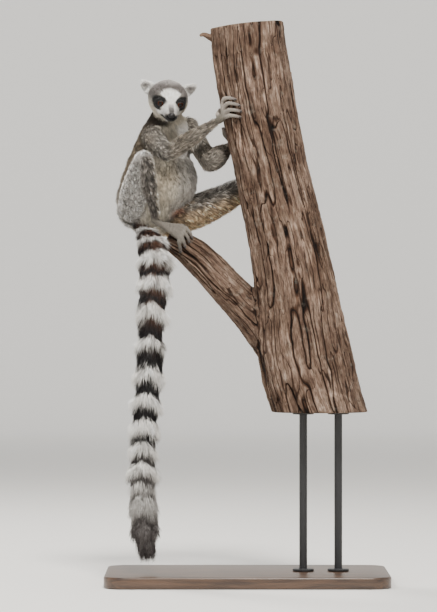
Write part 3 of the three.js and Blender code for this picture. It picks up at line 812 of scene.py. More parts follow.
def torso_colours(out, height, ragged, broad):
    """A grey-brown back, a cream belly kept narrow and a pale grey far flank; the narrow cream and
    the grey far side are partly painted shade.
    """
    # The cream faces less far round than the body: painted shade on the side turned away.
    facing = dot(out, level_way(16)) + 0.10 * broad + 0.05 * ragged
    # The shoulders darken to dark brown: partly the fur's brown tinge, partly painted shade under
    # the head.
    back = over(
        GREY, (BROWN_GREY, ramp(height, 668, 735)), (DARK_BROWN_AND_SHADE, 0.6 * ramp(height, 735, 800))
    )
    belly = over(CREAM, (TAN, 0.30 * ramp(broad, -0.2, 0.7)))
    edge = np.interp(height, [660, 700, 800], [0.50, 0.80, 0.86])
    torso = mix(back, belly, ramp(facing, edge - 0.12, edge + 0.12))
    # The far flank is pale grey in place of cream: partly the fur's grey, partly painted shade on
    # the side turned away.
    pale = linear(FLANK_GREY_AND_SHADE) * (0.9 + 0.12 * broad)[:, None]
    far = ramp(dot(out, BODY_FRONT) + 0.08 * broad, 0.25, 0.6) * ramp(out[:, 0], 0.35, 0.6)
    return mix(torso, pale, 0.8 * far * ramp(height, 800, 770))


def eye_patches(left, ahead, up, ragged):
    """Dark lozenges round the eyes, drawn out towards the muzzle and the temple."""
    patch = np.zeros(len(left))
    turn = math.radians(40)
    for k in SIGN.values():
        x, y = k * left - EYE["side"], up - EYE["up"]
        along = -x * math.cos(turn) - y * math.sin(turn)
        across = -x * math.sin(turn) + y * math.cos(turn)
        along = np.abs(along / np.where(along > 0, 15.5, 14.0))
        across = np.abs(across / np.where(across > 0, 10.5, 11.0))
        reach = (along**1.45 + across**1.45) ** (1 / 1.45)
        spot = ramp(reach + 0.06 * ragged, 1.07, 0.93) * (ahead > 6) * (k * left > 2.0)
        patch = np.maximum(patch, spot * ramp(ahead + 1.2 * ragged, 43, 37))
    return patch


def head_colours(ragged):
    """A dark cap with a paler top that is painted light from above, grey temples and nape, pale
    cheeks, a white brow and a black muzzle.
    """
    left, ahead, up = skin_place.T
    side = np.abs(left)
    cap = ramp(up + 1.0 * ragged, 12, 20) * ramp(ahead + 2.0 * ragged, -6, 8)
    temple = ramp(side, 17, 22) * ramp(up, 2, 9) * ramp(ahead, -4, 8)
    band = cap * ramp(ahead, 2, 12) * ramp(up, 33, 25)
    cheek = ramp(ahead, -2, 12) * ramp(up + 1.5 * ragged, 4, -6)
    # The brow has an arched top and runs down between the eyes to the muzzle.
    width = np.interp(up, [-8, 0, 4, 9, 14, 18, 23], [3.6, 4.2, 6.2, 11.5, 16.0, 17.5, 14.0])
    top = 22.8 - 0.026 * side**2
    brow = ramp(side + 0.7 * ragged, width + 1.1, width - 1.1)
    brow *= ramp(up + 0.9 * ragged, top + 0.8, top - 1.0) * ramp(ahead, 6, 12)
    brow *= ramp(ahead, 48, 42)
    patch = eye_patches(left, ahead, up, ragged)
    # White beside the muzzle, from the inner corners of the eyes to the mouth.
    beside = ramp(ahead + 1.2 * ragged, 37, 43) * ramp(ahead + 0.4 * ragged, 59, 55.5)
    beside = beside * ramp(up + 0.5 * ragged, -17.5, -15.5) * ramp(up, 10, 5)
    beside = np.maximum(beside, (1 - patch) * ramp(ahead, 28, 34) * ramp(up, 3, -2)
                        * ramp(up + 0.5 * ragged, -19, -15) * ramp(ahead, 59, 56))
    # The crown is painted paler on top: painted light from above.
    skull = over(
        GREY, (CREAM, 0.30 * ramp(up, 0, -24)), (CAP_LIT_GREY, ramp(up, 10, 22)),
        (CAP_EDGE, np.maximum(0.9 * band, 0.8 * temple)), (CREAM, 0.8 * cheek), (WHITE, brow),
        (BLACK, patch), (WHITE, 0.95 * beside),
    )
    # A grey ridge that darkens towards the nose, then the black end of the muzzle, the lips, and
    # black under the muzzle that is partly dark lips and partly painted shadow.
    bridge = ramp(side + 0.5 * ragged, 5.4, 3.4) * ramp(ahead, 40, 47)
    ridge = over(BRIDGE_GREY, (BRIDGE_DARK, ramp(ahead + 0.6 * ragged, 46, 54)))
    smudge = ramp(ahead + 0.8 * ragged, 50, 58) * ramp(side, 2, 6)
    snout = ramp(ahead + 0.5 * ragged, 56.5, 60.0)
    # Black under the muzzle: partly dark lips and chin, partly painted shadow under the muzzle.
    chin_black_and_shade = ramp(up + 0.5 * ragged, -14.5, -16.2) * ramp(ahead + 0.5 * ragged, 39, 43)
    lips = ramp(off_line(skin_place, MOUTH), 3.2, 1.6) * ramp(ahead, 33, 38)
    return over(
        mix(skull, ridge, 0.88 * bridge), (SMUDGE, 0.6 * smudge),
        (BLACK, np.maximum(np.maximum(snout, chin_black_and_shade), lips)),
    )


def ear_colours():
    """White ears, with bare skin in the hollow."""
    left, _, up = skin_place.T
    ears = np.broadcast_to(linear(WHITE), skin_points.shape)
    for k in SIGN.values():
        facing = dot(skin_normals, head_way(k * 0.45, 1, -0.1))
        middle = np.exp(-(((k * left - 39) / 6.5) ** 2 + ((up - 20.5) / 5.5) ** 2) ** 1.5)
        hollow = 0.85 * middle * ramp(facing, 0.2, 0.7) * (k * left > 0)
        ears = over(ears, (BARE_SKIN, hollow))
    return ears


def tail_colours(torso, height):
    """White rings, and dark bands that are brown at their upper edges, most down the middle."""
    white, down, offset = tail_rings()
    seen = ramp(-offset[:, 1], 0, 8)
    middle = hill((offset[:, 0] - 4) / 9.0) * seen
    rusty = ramp(down, 0.8, 0.0) * (0.2 + 0.8 * middle) * ramp(height, 380, 560)
    streak = ramp(noise(skin_points * [1, 1, 0.2], 0.004, 35), -0.2, 0.5)
    band = over(
        BAND_BLACK, (BAND_RUST, 0.75 * rusty), (BAND_FADED, ramp(height, 280, 180)),
        (TIP_STREAK, 0.5 * streak * ramp(height, 135, 110)),
    )
    parting = hill((offset[:, 0] - 2) / 1.3) * seen
    white = white * (1.0 - 0.7 * parting * ramp(height, 490, 520) * ramp(height, 602, 590))
    ringed = mix(band, linear(WHITE) * np.interp(height, [130, 300], [0.8, 1.0])[:, None], white)
    return mix(torso, ringed, ramp(height, 655, 642))


def markings():
    """The coat's colour at each point of the skin."""
    points, normal = skin_points, skin_normals
    ragged = noise(points, 0.006, 1) + 0.5 * noise(points, 0.003, 2)
    broad = noise(points, 0.03, 3)
    height = points[:, 2] / MM
    out = unit((points - BODY_AXIS) * [1, 1, 0])
    torso = torso_colours(out, height, ragged, broad)
    colour = torso.copy()

    def paint(kinds, side, value):
        mask = owned_by(kinds, side)
        colour[mask] = np.broadcast_to(value, colour.shape)[mask]

    # The near arm and leg are grey outside and pale inside, and the far ones pale below.
    inner = dot(normal, unit(np.array([0.55, 0.75, -0.45])))
    pale = (CREAM, ramp(inner + 0.12 * broad + 0.08 * ragged, 0.45, 0.9))
    paint("upper_arm", "right", over(GREY, pale, (BROWN_GREY, 0.35 + 0.3 * broad)))
    paint("forearm", "right", over(FOREARM_GREY, pale, (BROWN_GREY, 0.45 + 0.2 * broad)))
    paint("thigh", "right", over(PALE_GREY, pale))
    paint(("upper_arm", "forearm"), "left", over(GREY, (BROWN_GREY, 0.4 + 0.3 * broad)))
    under = ramp(-normal[:, 2] + 0.12 * ragged + 0.1 * broad, -0.45, 0.35)
    paint(("thigh", "shin"), "left", mix(linear(GREY), over(TAN, (CREAM, 0.2)), under))
    # The near shin is darker grey than the other limbs: painted shade between the shin and the
    # belly; its inner side stays pale.
    inner = dot(normal, unit(np.array([0.75, 0.55, -0.2])))
    pale = (CREAM, ramp(inner + 0.1 * ragged, 0.4, 0.9))
    paint("shin", "right", over(SHIN_SHADE_GREY, pale, (GREY, 0.25 * ramp(broad, -0.3, 0.5))))

    # Hands and feet: short pale hair darkened, the feet most, partly the hair's grey and partly
    # painted shade; grey round the wrists, partly dark palm skin and partly painted shade; and
    # bare skin towards the tips.
    paws = over(PALE_GREY, (CREAM, 0.3))
    paint("hand", "", paws * (0.66 + 0.15 * broad)[:, None] * [1.04, 0.98, 0.94])
    for side in SIDES:
        palm_and_shade = 1.0 - ramp(np.linalg.norm(points / MM - WRIST[side], axis=1), 12, 30)
        paint("hand", side, over(colour, (PALM_GREY_AND_SHADE, palm_and_shade)))
    paint("foot", "", paws * (0.42 + 0.15 * broad)[:, None] * [1.02, 0.98, 0.93])
    tips = np.array([path[-1] for n in PAWS for path in digit_paths(n)])
    gap = np.linalg.norm(points[:, None] / MM - tips[None], axis=2).min(axis=1)
    bare = ramp(gap + 0.8 * ragged, 11, 4)
    paint(("hand", "foot"), "", over(colour, (BARE_SKIN, 0.6 * bare)))

    # A small bare fold of skin low on the belly, pink above and dark below; the dark is partly the
    # skin and partly painted shade in the fold.
    fold = points / MM - np.array(BELLY_FOLD, dtype=float)
    gap = np.hypot(fold[:, 0], fold[:, 2]) + 1.2 * ragged
    bare = ramp(gap, 13, 9) * (points[:, 1] < 0.06) * (normal[:, 1] < 0.3)
    folded = mix(colour, over(FOLD_DARK_SHADE, (FOLD_PINK, ramp(fold[:, 2], 0, 6))), 0.85 * bare)
    paint(("abdomen", "rump"), "", folded)
    paint("thigh", "left", folded)

    paint("head", "", head_colours(ragged))
    paint("ear", "", ear_colours())
    # Neck: a narrow pale throat, and dark sides that run on over the shoulders, partly the fur's
    # dark grey-brown and partly painted shade under the head; and a white patch below.
    throat = ramp(dot(out, level_way(76)) + 0.1 * broad + 0.06 * ragged, 0.52, 0.85)
    paint("neck", "", over(DARK_BROWN_AND_SHADE, (CREAM, throat)))
    # A white patch on the chest below the throat: painted light over the pale fur.
    from_breast = np.linalg.norm((points / MM - LIT_BREAST) * [1.0, 0.0, 1.0], axis=1)
    breast_light = ramp(from_breast + 3.0 * ragged, 19, 9) * throat
    paint(("neck", "chest"), "", over(colour, (WHITE, 0.75 * breast_light)))
    paint(WHOLE_TAIL, "", tail_colours(torso, height))
    crisp = owned_by(("head",) + WHOLE_TAIL)
    share = spread(crisp.astype(float), skin_edges, 4)
    share = np.clip(share * 2.0 - 1.0, 0.0, 1.0)
    return mix(spread(colour, skin_edges, 5), colour, share)


def ring_flare():
    """How much the hairs stand out: the lower end of each white ring flares over the next band."""
    white, down, offset = tail_rings()
    height = skin_points[:, 2] / MM
    strong = np.interp(height, [120, 170, 560, 630], [0.0, 0.75, 1.0, 0.3])
    right = ramp(offset[:, 0], 4, 22) * ramp(height, 330, 470)
    flare = between(0.45, 0.95 + (0.6 + 0.65 * right) * down, white)
    return between(1.0, between(0.95, flare, strong), owned_by(WHOLE_TAIL))


skin_tint = np.clip(markings(), 0.0, 1.0)
skin_flare = spread(ring_flare(), skin_edges, 1)
keep(skin.data, "tint", skin_tint)
keep(skin.data, "lie", skin_lie)


def unwrap(piece):
    bpy.context.view_layer.objects.active = piece
    piece.select_set(True)
    bpy.ops.object.mode_set(mode="EDIT")
    bpy.ops.mesh.select_all(action="SELECT")
    bpy.ops.uv.smart_project(angle_limit=1.15, island_margin=0.001)
    bpy.ops.object.mode_set(mode="OBJECT")
    piece.select_set(False)


unwrap(skin)


# ------------------------------------------------------------------ materials
def add(tree, kind, links=None, **settings):
    """Adds a node. Settings are its properties or its inputs' values, and links feed inputs."""
    node = tree.nodes.new("ShaderNode" + kind)
    for name, value in settings.items():
        if hasattr(node, name):
            setattr(node, name, value)
        else:
            node.inputs[name.replace("_", " ")].default_value = value
    for name, source in (links or {}).items():
        if isinstance(source, bpy.types.NodeSocket):
            tree.links.new(source, node.inputs[name])
        else:
            node.inputs[name].default_value = source
    return node


def maths(tree, operation, *values):
    """What a sum of one to three values gives, each a number or an output."""
    return add(tree, "Math", dict(enumerate(values)), operation=operation).outputs[0]


def attribute(tree, name, output="Fac"):
    return add(tree, "Attribute", attribute_name=name).outputs[output]


def object_place(tree):
    return add(tree, "TexCoord").outputs["Object"]


def noise_of(tree, place, scale, detail, **settings):
    return add(
        tree, "TexNoise", {"Vector": place}, Scale=scale, Detail=detail, **settings
    ).outputs["Fac"]


def blank(name, colour, roughness, **settings):
    """A new material of one colour, with its nodes and its surface."""
    material = bpy.data.materials.new(name)
    material.use_nodes = True
    tree = material.node_tree
    surface = tree.nodes["Principled BSDF"]
    if colour:
        surface.inputs["Base Color"].default_value = rgba(colour)
    surface.inputs["Roughness"].default_value = roughness
    for key, value in settings.items():
        surface.inputs[key.replace("_", " ")].default_value = value
    return material, tree, surface


def rgba(hexes):
    return (*linear(hexes), 1.0)


def colours(tree, factor, stops):
    """A colour ramp over a 0 to 1 value, from (place, hex) stops."""
    node = add(tree, "ValToRGB", {"Fac": factor})
    ramp_stops = node.color_ramp.elements
    for i, (place, hexes) in enumerate(stops):
        stop = ramp_stops[i] if i < 2 else ramp_stops.new(place)
        stop.position = place
        stop.color = rgba(hexes)
    return node.outputs["Color"]


def bump(tree, surface, height, distance, strength):
    node = add(tree, "Bump", {"Height": height}, Distance=distance, Strength=strength)
    tree.links.new(node.outputs["Normal"], surface.inputs["Normal"])


def blended(tree, kind, a, b, factor):
    links = {0: factor, 6: a, 7: b}
    return add(tree, "Mix", links, data_type="RGBA", blend_type=kind).outputs[2]


def hair_material():
    # Dull hair of many fine strands: soft sheen at grazing light, and no single highlight.
    material, tree, surface = blank(
        "lemur hair", None, 0.7, Sheen_Weight=0.08, Sheen_Roughness=0.5
    )
    tree.links.new(attribute(tree, "tint", "Color"), surface.inputs["Base Color"])
    surface.inputs["Specular IOR Level"].default_value = 0.2
    return material


def underfur_material():
    # Short dense underfur and thin skin: matt, with strands that follow the lie of the coat.
    material, tree, surface = blank(
        "short underfur", None, 0.82, Sheen_Weight=0.05, Sheen_Roughness=0.6
    )
    lie, place = attribute(tree, "lie", "Vector"), object_place(tree)
    along = add(tree, "VectorMath", {0: place, 1: lie}, operation="DOT_PRODUCT").outputs["Value"]
    squeeze = maths(tree, "MULTIPLY", along, 0.86)
    drawn = add(tree, "VectorMath", {0: lie, "Scale": squeeze}, operation="SCALE").outputs[0]
    strands = add(tree, "VectorMath", {0: place, 1: drawn}, operation="SUBTRACT").outputs[0]
    hairs = noise_of(tree, strands, 1500.0, 3.0)
    shade = colours(tree, hairs, [(0.3, "#8f8f8f"), (0.7, "#ffffff")])
    shaded = blended(tree, "MULTIPLY", attribute(tree, "tint", "Color"), shade, 1.0)
    tree.links.new(shaded, surface.inputs["Base Color"])
    surface.inputs["Specular IOR Level"].default_value = 0.12
    bump(tree, surface, hairs, 0.0005, 0.8)
    return material


HAIR = hair_material()
finish(skin, "coat", underfur_material(), *FLESH)


# ------------------------------------------------------------------ the coat
corners = triangles_of(skin.data)
loops = triangles_of(skin.data, "loops")
skin_uv = rows_of(skin.data.uv_layers.active.data, "uv", 2)
face_points = skin_points[corners]
face_area = np.linalg.norm(
    np.cross(face_points[:, 1] - face_points[:, 0], face_points[:, 2] - face_points[:, 0]), axis=1
) / 2
tuft_length = np.array([TUFT_LENGTH[kind_of(n)] for n in FLESH])[skin_owner]
tuft_length = spread(tuft_length, skin_edges, 14)

# Each tuft is a closed lock of three stations: a wide root, a middle and a tip. A spike has no
# middle. For each corner: its station, how far it lies aside and stands up, and its place in the
# tuft's patch.
LOCK = {
    "station": np.array([0, 0, 0, 1, 1, 1, 2]),
    "aside": np.array([-1.0, 1.0, 0.0, -0.8, 0.8, 0.0, 0.0]),
    "ridge": np.array([0.0, 0.0, 0.45, 0.0, 0.0, 0.4, 0.0]),
    "faces": np.array([
        (0, 1, 2), (0, 3, 4), (0, 4, 1), (1, 4, 5), (1, 5, 2), (2, 5, 3), (2, 3, 0),
        (3, 6, 4), (4, 6, 5), (5, 6, 3),
    ]),
    "patch": np.array([(-1, -1), (1, -1), (0, -0.5), (-0.7, 0), (0.7, 0), (0, 0.4), (0, 1)]),
}
SPIKE = {
    "station": np.array([0, 0, 0, 2]),
    "aside": np.array([-1.0, 1.0, 0.0, 0.0]),
    "ridge": np.array([0.0, 0.0, 0.7, 0.0]),
    "faces": np.array([(0, 1, 2), (0, 3, 1), (1, 3, 2), (2, 3, 0)]),
    "patch": np.array([(-1, -1), (1, -1), (0, -0.5), (0, 1)]),
}
PATCH = 0.0015  # half the width of a tuft's patch on the unwrap


def make_coat(
    name, seed, count, weight, width, clump, lift=1.0, form=LOCK, shorter=1.0, grizzle=0.16
):
    """One piece of coat, whose tufts lie over the skin's triangles by their weight.

    Width is a tuft's and clump the size of the locks that lean together, in mm. Lift is how much
    more than usual the tufts rise, and grizzle how much their shades differ.
    """
    rng = np.random.default_rng(seed)
    chance = face_area * weight
    face = rng.choice(len(corners), size=count, p=chance / chance.sum())
    u, v = rng.random(count), rng.random(count)
    flip = u + v > 1
    u, v = np.where(flip, 1 - u, u), np.where(flip, 1 - v, v)
    share = np.stack([1 - u - v, u, v], axis=1)

    def at_root(values):
        return np.einsum("ij,ij...->i...", share, values[corners[face]])

    root = at_root(skin_points)
    normal = unit(at_root(skin_normals))
    lie = at_root(skin_lie)
    lie = unit(lie - normal * dot(lie, normal)[:, None])
    tint = at_root(skin_tint)
    depth = at_root(skin_depth) * MM
    length = at_root(tuft_length) * MM * rng.uniform(0.72, 1.12, count) * shorter
    uv = np.einsum("ij,ijk->ik", share, skin_uv[loops[face]])

    # Locks sway together, and a little each on its own.
    sway = 0.30 * noise(root, 0.016, seed) + 0.22 * noise(root, 0.006, seed + 1)
    sway += rng.normal(0, 0.10, count)
    beside = np.cross(normal, lie)
    lie = lie * np.cos(sway)[:, None] + beside * np.sin(sway)[:, None]
    beside = np.cross(normal, lie)
    rise = depth * rng.uniform(0.5, 1.02, count) * (1.0 + 0.15 * noise(root, 0.009, seed + 2))
    rise *= np.where(rng.random(count) < 0.07, 1.25, 1.0)
    flare = at_root(skin_flare)
    rise *= flare
    length *= flare**0.3
    rise = np.clip(rise * lift, 0.0004, length * 0.85)
    run = np.sqrt(length**2 - rise**2)
    middle = root + lie * (run * 0.42)[:, None] + normal * (rise * 0.66)[:, None]
    tip = root + lie * run[:, None] + normal * rise[:, None]

    # Tips of a clump lean together into a pointed lock, and share a shade.
    own = rng.normal(0, 1, count)
    if clump:
        covered = (face_area * weight).sum() / max(weight.max(), 1e-9) / MM**2
        chosen = np.arange(0, count, max(2, int(clump * clump * count / covered)))
        match = chosen[nearest_in(tree_of(root[chosen]), root)]
        own = 0.6 * own + 0.85 * own[match]
        gather = rng.uniform(0.2, 0.65, count)[:, None]
        gap = tip[match] - tip
        close = np.linalg.norm(gap, axis=1) < clump * 2 * MM
        tip = tip + gap * gather * close[:, None]
        middle = middle + (tip[match] - tip) * 0.12 * close[:, None]

    half = width * MM * 0.5 * rng.uniform(0.7, 1.25, count)
    station, faces = form["station"], form["faces"]
    points = np.stack([root - normal * 0.0006, middle, tip], axis=1)[:, station]
    points = points + beside[:, None] * (half[:, None] * form["aside"])[..., None]
    points = points + normal[:, None] * (half[:, None] * form["ridge"] * 2)[..., None]

    # Darker at the root, partly the hair's own banding and partly painted shade deep in the coat,
    # and paler at the tip, with a chance shade for each lock.
    pale = ramp(tint.mean(axis=1), 0.25, 0.7)
    shade = np.exp(own * (grizzle * (1 - 0.4 * pale)))
    shade *= 1.0 + 0.12 * noise(root, 0.008, seed + 3) * (1 - 0.6 * pale)
    dark = np.stack([0.55 + 0.27 * pale, 0.92 + 0.05 * pale, 1.16 - 0.12 * pale], axis=1)
    tints = np.clip(tint[:, None] * shade[:, None, None] * dark[:, station][..., None], 0.0, 0.92)

    index = (faces[None] + (np.arange(count) * len(station))[:, None, None]).reshape(-1, 3)
    mesh = bpy.data.meshes.new(name)
    mesh.vertices.add(count * len(station))
    mesh.vertices.foreach_set("co", points.reshape(-1).astype(np.float32))
    mesh.loops.add(index.size)
    mesh.loops.foreach_set("vertex_index", index.ravel().astype(np.int32))
    mesh.polygons.add(len(index))
    mesh.polygons.foreach_set("loop_start", np.arange(0, index.size, 3, dtype=np.int32))
    mesh.polygons.foreach_set("loop_total", np.full(len(index), 3, dtype=np.int32))
    mesh.update(calc_edges=True)
    keep(mesh, "tint", tints.reshape(-1, 3))
    layer = mesh.uv_layers.new(name="OFBake")
    spot = np.clip(uv, PATCH, 1 - PATCH)[:, None] + form["patch"][None] * PATCH
    layer.data.foreach_set("uv", spot[:, faces].reshape(-1).astype(np.float32))
    mesh.shade_smooth()
    return finish(new_piece(name, mesh), "coat", HAIR)


def faces_of(*kinds):
    """1 on the skin's triangles of those kinds of node."""
    return owned_by(kinds)[corners[:, 0]].astype(float)


middle_place = skin_place[corners].mean(axis=1)
middle_point = face_points.mean(axis=1)
# The eyes' openings and the nose stay bare.
bare = np.linalg.norm((middle_place - NOSE_AT) * NOSE_REACH, axis=1) > 5.6
for side in SIDES:
    reach = np.linalg.norm(middle_point - eye_frame(side)[0], axis=1)
    bare &= (eye_share(middle_point, side) > 1.16) | (reach > 0.013)
front = ramp(middle_place[:, 1], 2, 10)
muzzle = ramp(middle_place[:, 1], 34, 46)
head, torso = faces_of("head") * bare, faces_of(*TORSO)
belly = ramp(dot(unit((middle_point - BODY_AXIS) * [1, 1, 0]), BODY_FRONT), 0.05, 0.15)
share_made = 1.0

for seed, (name, count, weight, width, clump, extra) in enumerate([
    ("muzzle", 16000, head * muzzle, 0.4, 0, {"form": SPIKE, "shorter": 0.55}),
    ("face", 17000, head * front * (1.1 - muzzle), 0.5, 2.5, {}),
    ("crown", 9500, head * (1.02 - front), 0.6, 3.5, {"lift": 1.2}),
    ("ear", 5500, faces_of("ear"), 0.5, 2.0, {"lift": 1.3}),
    ("neck", 6000, faces_of("neck"), 0.85, 5.0, {}),
    ("back", 19000, torso * (1 - belly), 0.95, 4.0, {"grizzle": 0.4}),
    ("belly", 13000, torso * belly, 0.95, 5.5, {"grizzle": 0.2}),
    ("arm", 14500, faces_of("upper_arm", "forearm"), 0.8, 3.5, {"grizzle": 0.45}),
    ("leg", 19500, faces_of("thigh", "shin"), 0.9, 3.8, {"lift": 1.15, "grizzle": 0.6}),
    ("paw", 12000, faces_of("hand", "foot"), 0.45, 0, {"form": SPIKE}),
    ("upper_tail", 19000, faces_of(*WHOLE_TAIL[:2]), 1.1, 6.0, {}),
    ("lower_tail", 18000, faces_of(*WHOLE_TAIL[2:]), 1.1, 6.0, {}),
], start=11):
    make_coat(name + "_coat", seed, int(count * share_made), weight, width, clump, **extra)


# ------------------------------------------------------------------ eyes, lids, nose and nails
EYE_SPREAD = 0.010  # the eye's colours run from the pupil's middle over this distance


def eye_material(side):
    # A wet eyeball: an amber iris darkened nearly to brown-black, the darkening painted shade
    # under the brow, with a dark edge, a black pupil, and a hard clear highlight.
    material, tree, surface = blank(
        side + " eye", None, 0.25, Coat_Weight=0.3, Coat_Roughness=0.02
    )
    surface.inputs["Specular IOR Level"].default_value = 0.1
    centre, _, _, ahead = eye_frame(side)
    pupil = Vector(centre + ahead * EYE["radius"] * MM)
    away = add(tree, "VectorMath", {0: object_place(tree), 1: pupil}, operation="DISTANCE")
    share = maths(tree, "DIVIDE", away.outputs["Value"], EYE_SPREAD)
    # The iris colours are kept very dark: painted shade over the amber iris.
    iris = colours(tree, share, [
        (0.0, "#030202"), (0.70, "#060404"), (0.28, "#030202"), (0.32, "#280f05"),
        (0.40, "#4f250d"), (0.47, "#331508"), (0.53, "#100605"),
    ])
    tree.links.new(iris, surface.inputs["Base Color"])
    return material


def leather(name, colour, roughness, grain, depth):
    # Bare damp leather: fine pebbled grain that breaks a soft shine.
    material, tree, surface = blank(name, colour, roughness)
    pebbles = add(tree, "TexVoronoi", {"Vector": object_place(tree)}, Scale=grain)
    bump(tree, surface, pebbles.outputs["Distance"], depth, 0.6)
    return material


LID_LEATHER = leather("dark lid skin", "#0d0a0b", 0.55, 1800.0, 0.0001)
NOSE_LEATHER = leather("damp nose leather", "#161314", 0.36, 1500.0, 0.0003)


def make_eye(side):
    centre, _, _, ahead = eye_frame(side)
    bm = bmesh.new()
    bmesh.ops.create_icosphere(bm, subdivisions=5, radius=EYE["radius"] * MM)
    for v in bm.verts:
        way = np.array(v.co.normalized())
        swell = 0.75 * MM * float(ramp(dot(way, ahead), 0.80, 1.0))
        v.co = Vector(centre + way * (EYE["radius"] * MM + swell))
    finish(from_bmesh(side + "_eyeball", bm), "eye", eye_material(side), "eye_" + side)


def make_lids(side):
    """A rim of bare skin round the eye's opening, thicker above and drawn out to the corners."""
    centre, out, rise, ahead = eye_frame(side)
    around, across = 72, 10
    bm = bmesh.new()
    rings = []
    for i in range(around):
        turn = 2 * math.pi * i / around
        a = EYE_OPENING[0] * 1.05 * math.copysign(abs(math.cos(turn)) ** 0.92, math.cos(turn))
        b = EYE_OPENING[1] * 1.04 * math.copysign(abs(math.sin(turn)) ** 1.12, math.sin(turn))
        r = EYE["radius"]
        flat = out * a + rise * b
        way = unit(flat + ahead * math.sqrt(max(r * r - a * a - b * b, 1.0)))
        spot = centre + way * (r + 0.55) * MM
        outward = unit(flat - way * dot(flat, way))
        thick = (0.62 + 0.28 * max(math.sin(turn), 0.0)) * MM
        ring = []
        for j in range(across):
            angle = 2 * math.pi * j / across
            shift = outward * math.cos(angle) * thick * 1.25 + way * math.sin(angle) * thick * 0.8
            ring.append(bm.verts.new(spot + shift))
        rings.append(ring)
    for i in range(around):
        for j in range(across):
            k, m = (i + 1) % around, (j + 1) % across
            bm.faces.new((rings[i][j], rings[k][j], rings[k][m], rings[i][m]))
    bmesh.ops.recalc_face_normals(bm, faces=bm.faces)
    finish(from_bmesh(side + "_eyelids", bm), "nose", LID_LEATHER)


def make_nose():
    """The bare pad at the muzzle's tip, with comma-shaped nostrils and a groove below."""
    bm = bmesh.new()
    bmesh.ops.create_icosphere(bm, subdivisions=5, radius=1.0)
    for v in bm.verts:
        x, y, z = v.co
        wide = 6.3 * (1.0 + 0.10 * z)
        left, ahead, up = x * wide, y * 5.2, z * 5.0
        ahead += 0.9 * max(z, 0) * max(y, 0)
        spot = abs(left)
        pit = hill((spot - 3.1) / 1.25, up + 0.2)
        slit = hill((spot - 4.6) / 1.5, (up - 0.9 - 0.3 * (spot - 3)) / 0.5)
        groove = hill(left / 0.5) * (1.0 if up < 0.5 else 0.3)
        if y > 0:
            ahead -= 2.2 * max(pit, 0.8 * slit) + 0.6 * groove
        v.co = Vector(on_head(NOSE_AT[0] + left, NOSE_AT[1] + ahead, NOSE_AT[2] + up))
    bmesh.ops.reverse_faces(bm, faces=bm.faces)
    bmesh.ops.recalc_face_normals(bm, faces=bm.faces)
    finish(from_bmesh("nose_pad", bm), "nose", NOSE_LEATHER, "nose")


for side in SIDES:
    make_eye(side)
    make_lids(side)
make_nose()


def make_nails():
    """A small curved nail on the back of each digit's end, and a claw on each second toe."""
    bm = bmesh.new()
    for node in PAWS:
        for k, path in enumerate(digit_paths(node)):
            claw = kind_of(node) == "foot" and k == 0
            size = DIGIT_TIP * (THUMB if k == 4 else 1.0)
            tip = np.array(path[-1])
            out = unit(tip - np.array(WOOD.find_nearest(Vector(tip * MM))[0]) / MM)
            ahead = unit(tip - np.array(path[-2]))
            ahead = unit(ahead - out * dot(ahead, out))
            across = np.cross(out, ahead)
            start = len(bm.verts)
            bmesh.ops.create_icosphere(bm, subdivisions=2, radius=1.0)
            bm.verts.ensure_lookup_table()
            long, wide = (size * 1.25, size * 0.45) if claw else (size * 0.85, size * 0.66)
            for v in bm.verts[start:]:
                x, y, z = v.co
                bend = 0.22 * size * (y + 0.3) ** 2
                spot = tip + ahead * (y * long + size * 0.55) + across * x * wide
                v.co = Vector((spot + out * (z * size * 0.24 + size * 0.82 - bend)) * MM)
    bmesh.ops.recalc_face_normals(bm, faces=bm.faces)
    # Thin dark horn: smooth, with a low satin shine.
    finish(from_bmesh("nails", bm), "nose", blank("dark nail horn", "#2a2422", 0.35)[0])


make_nails()


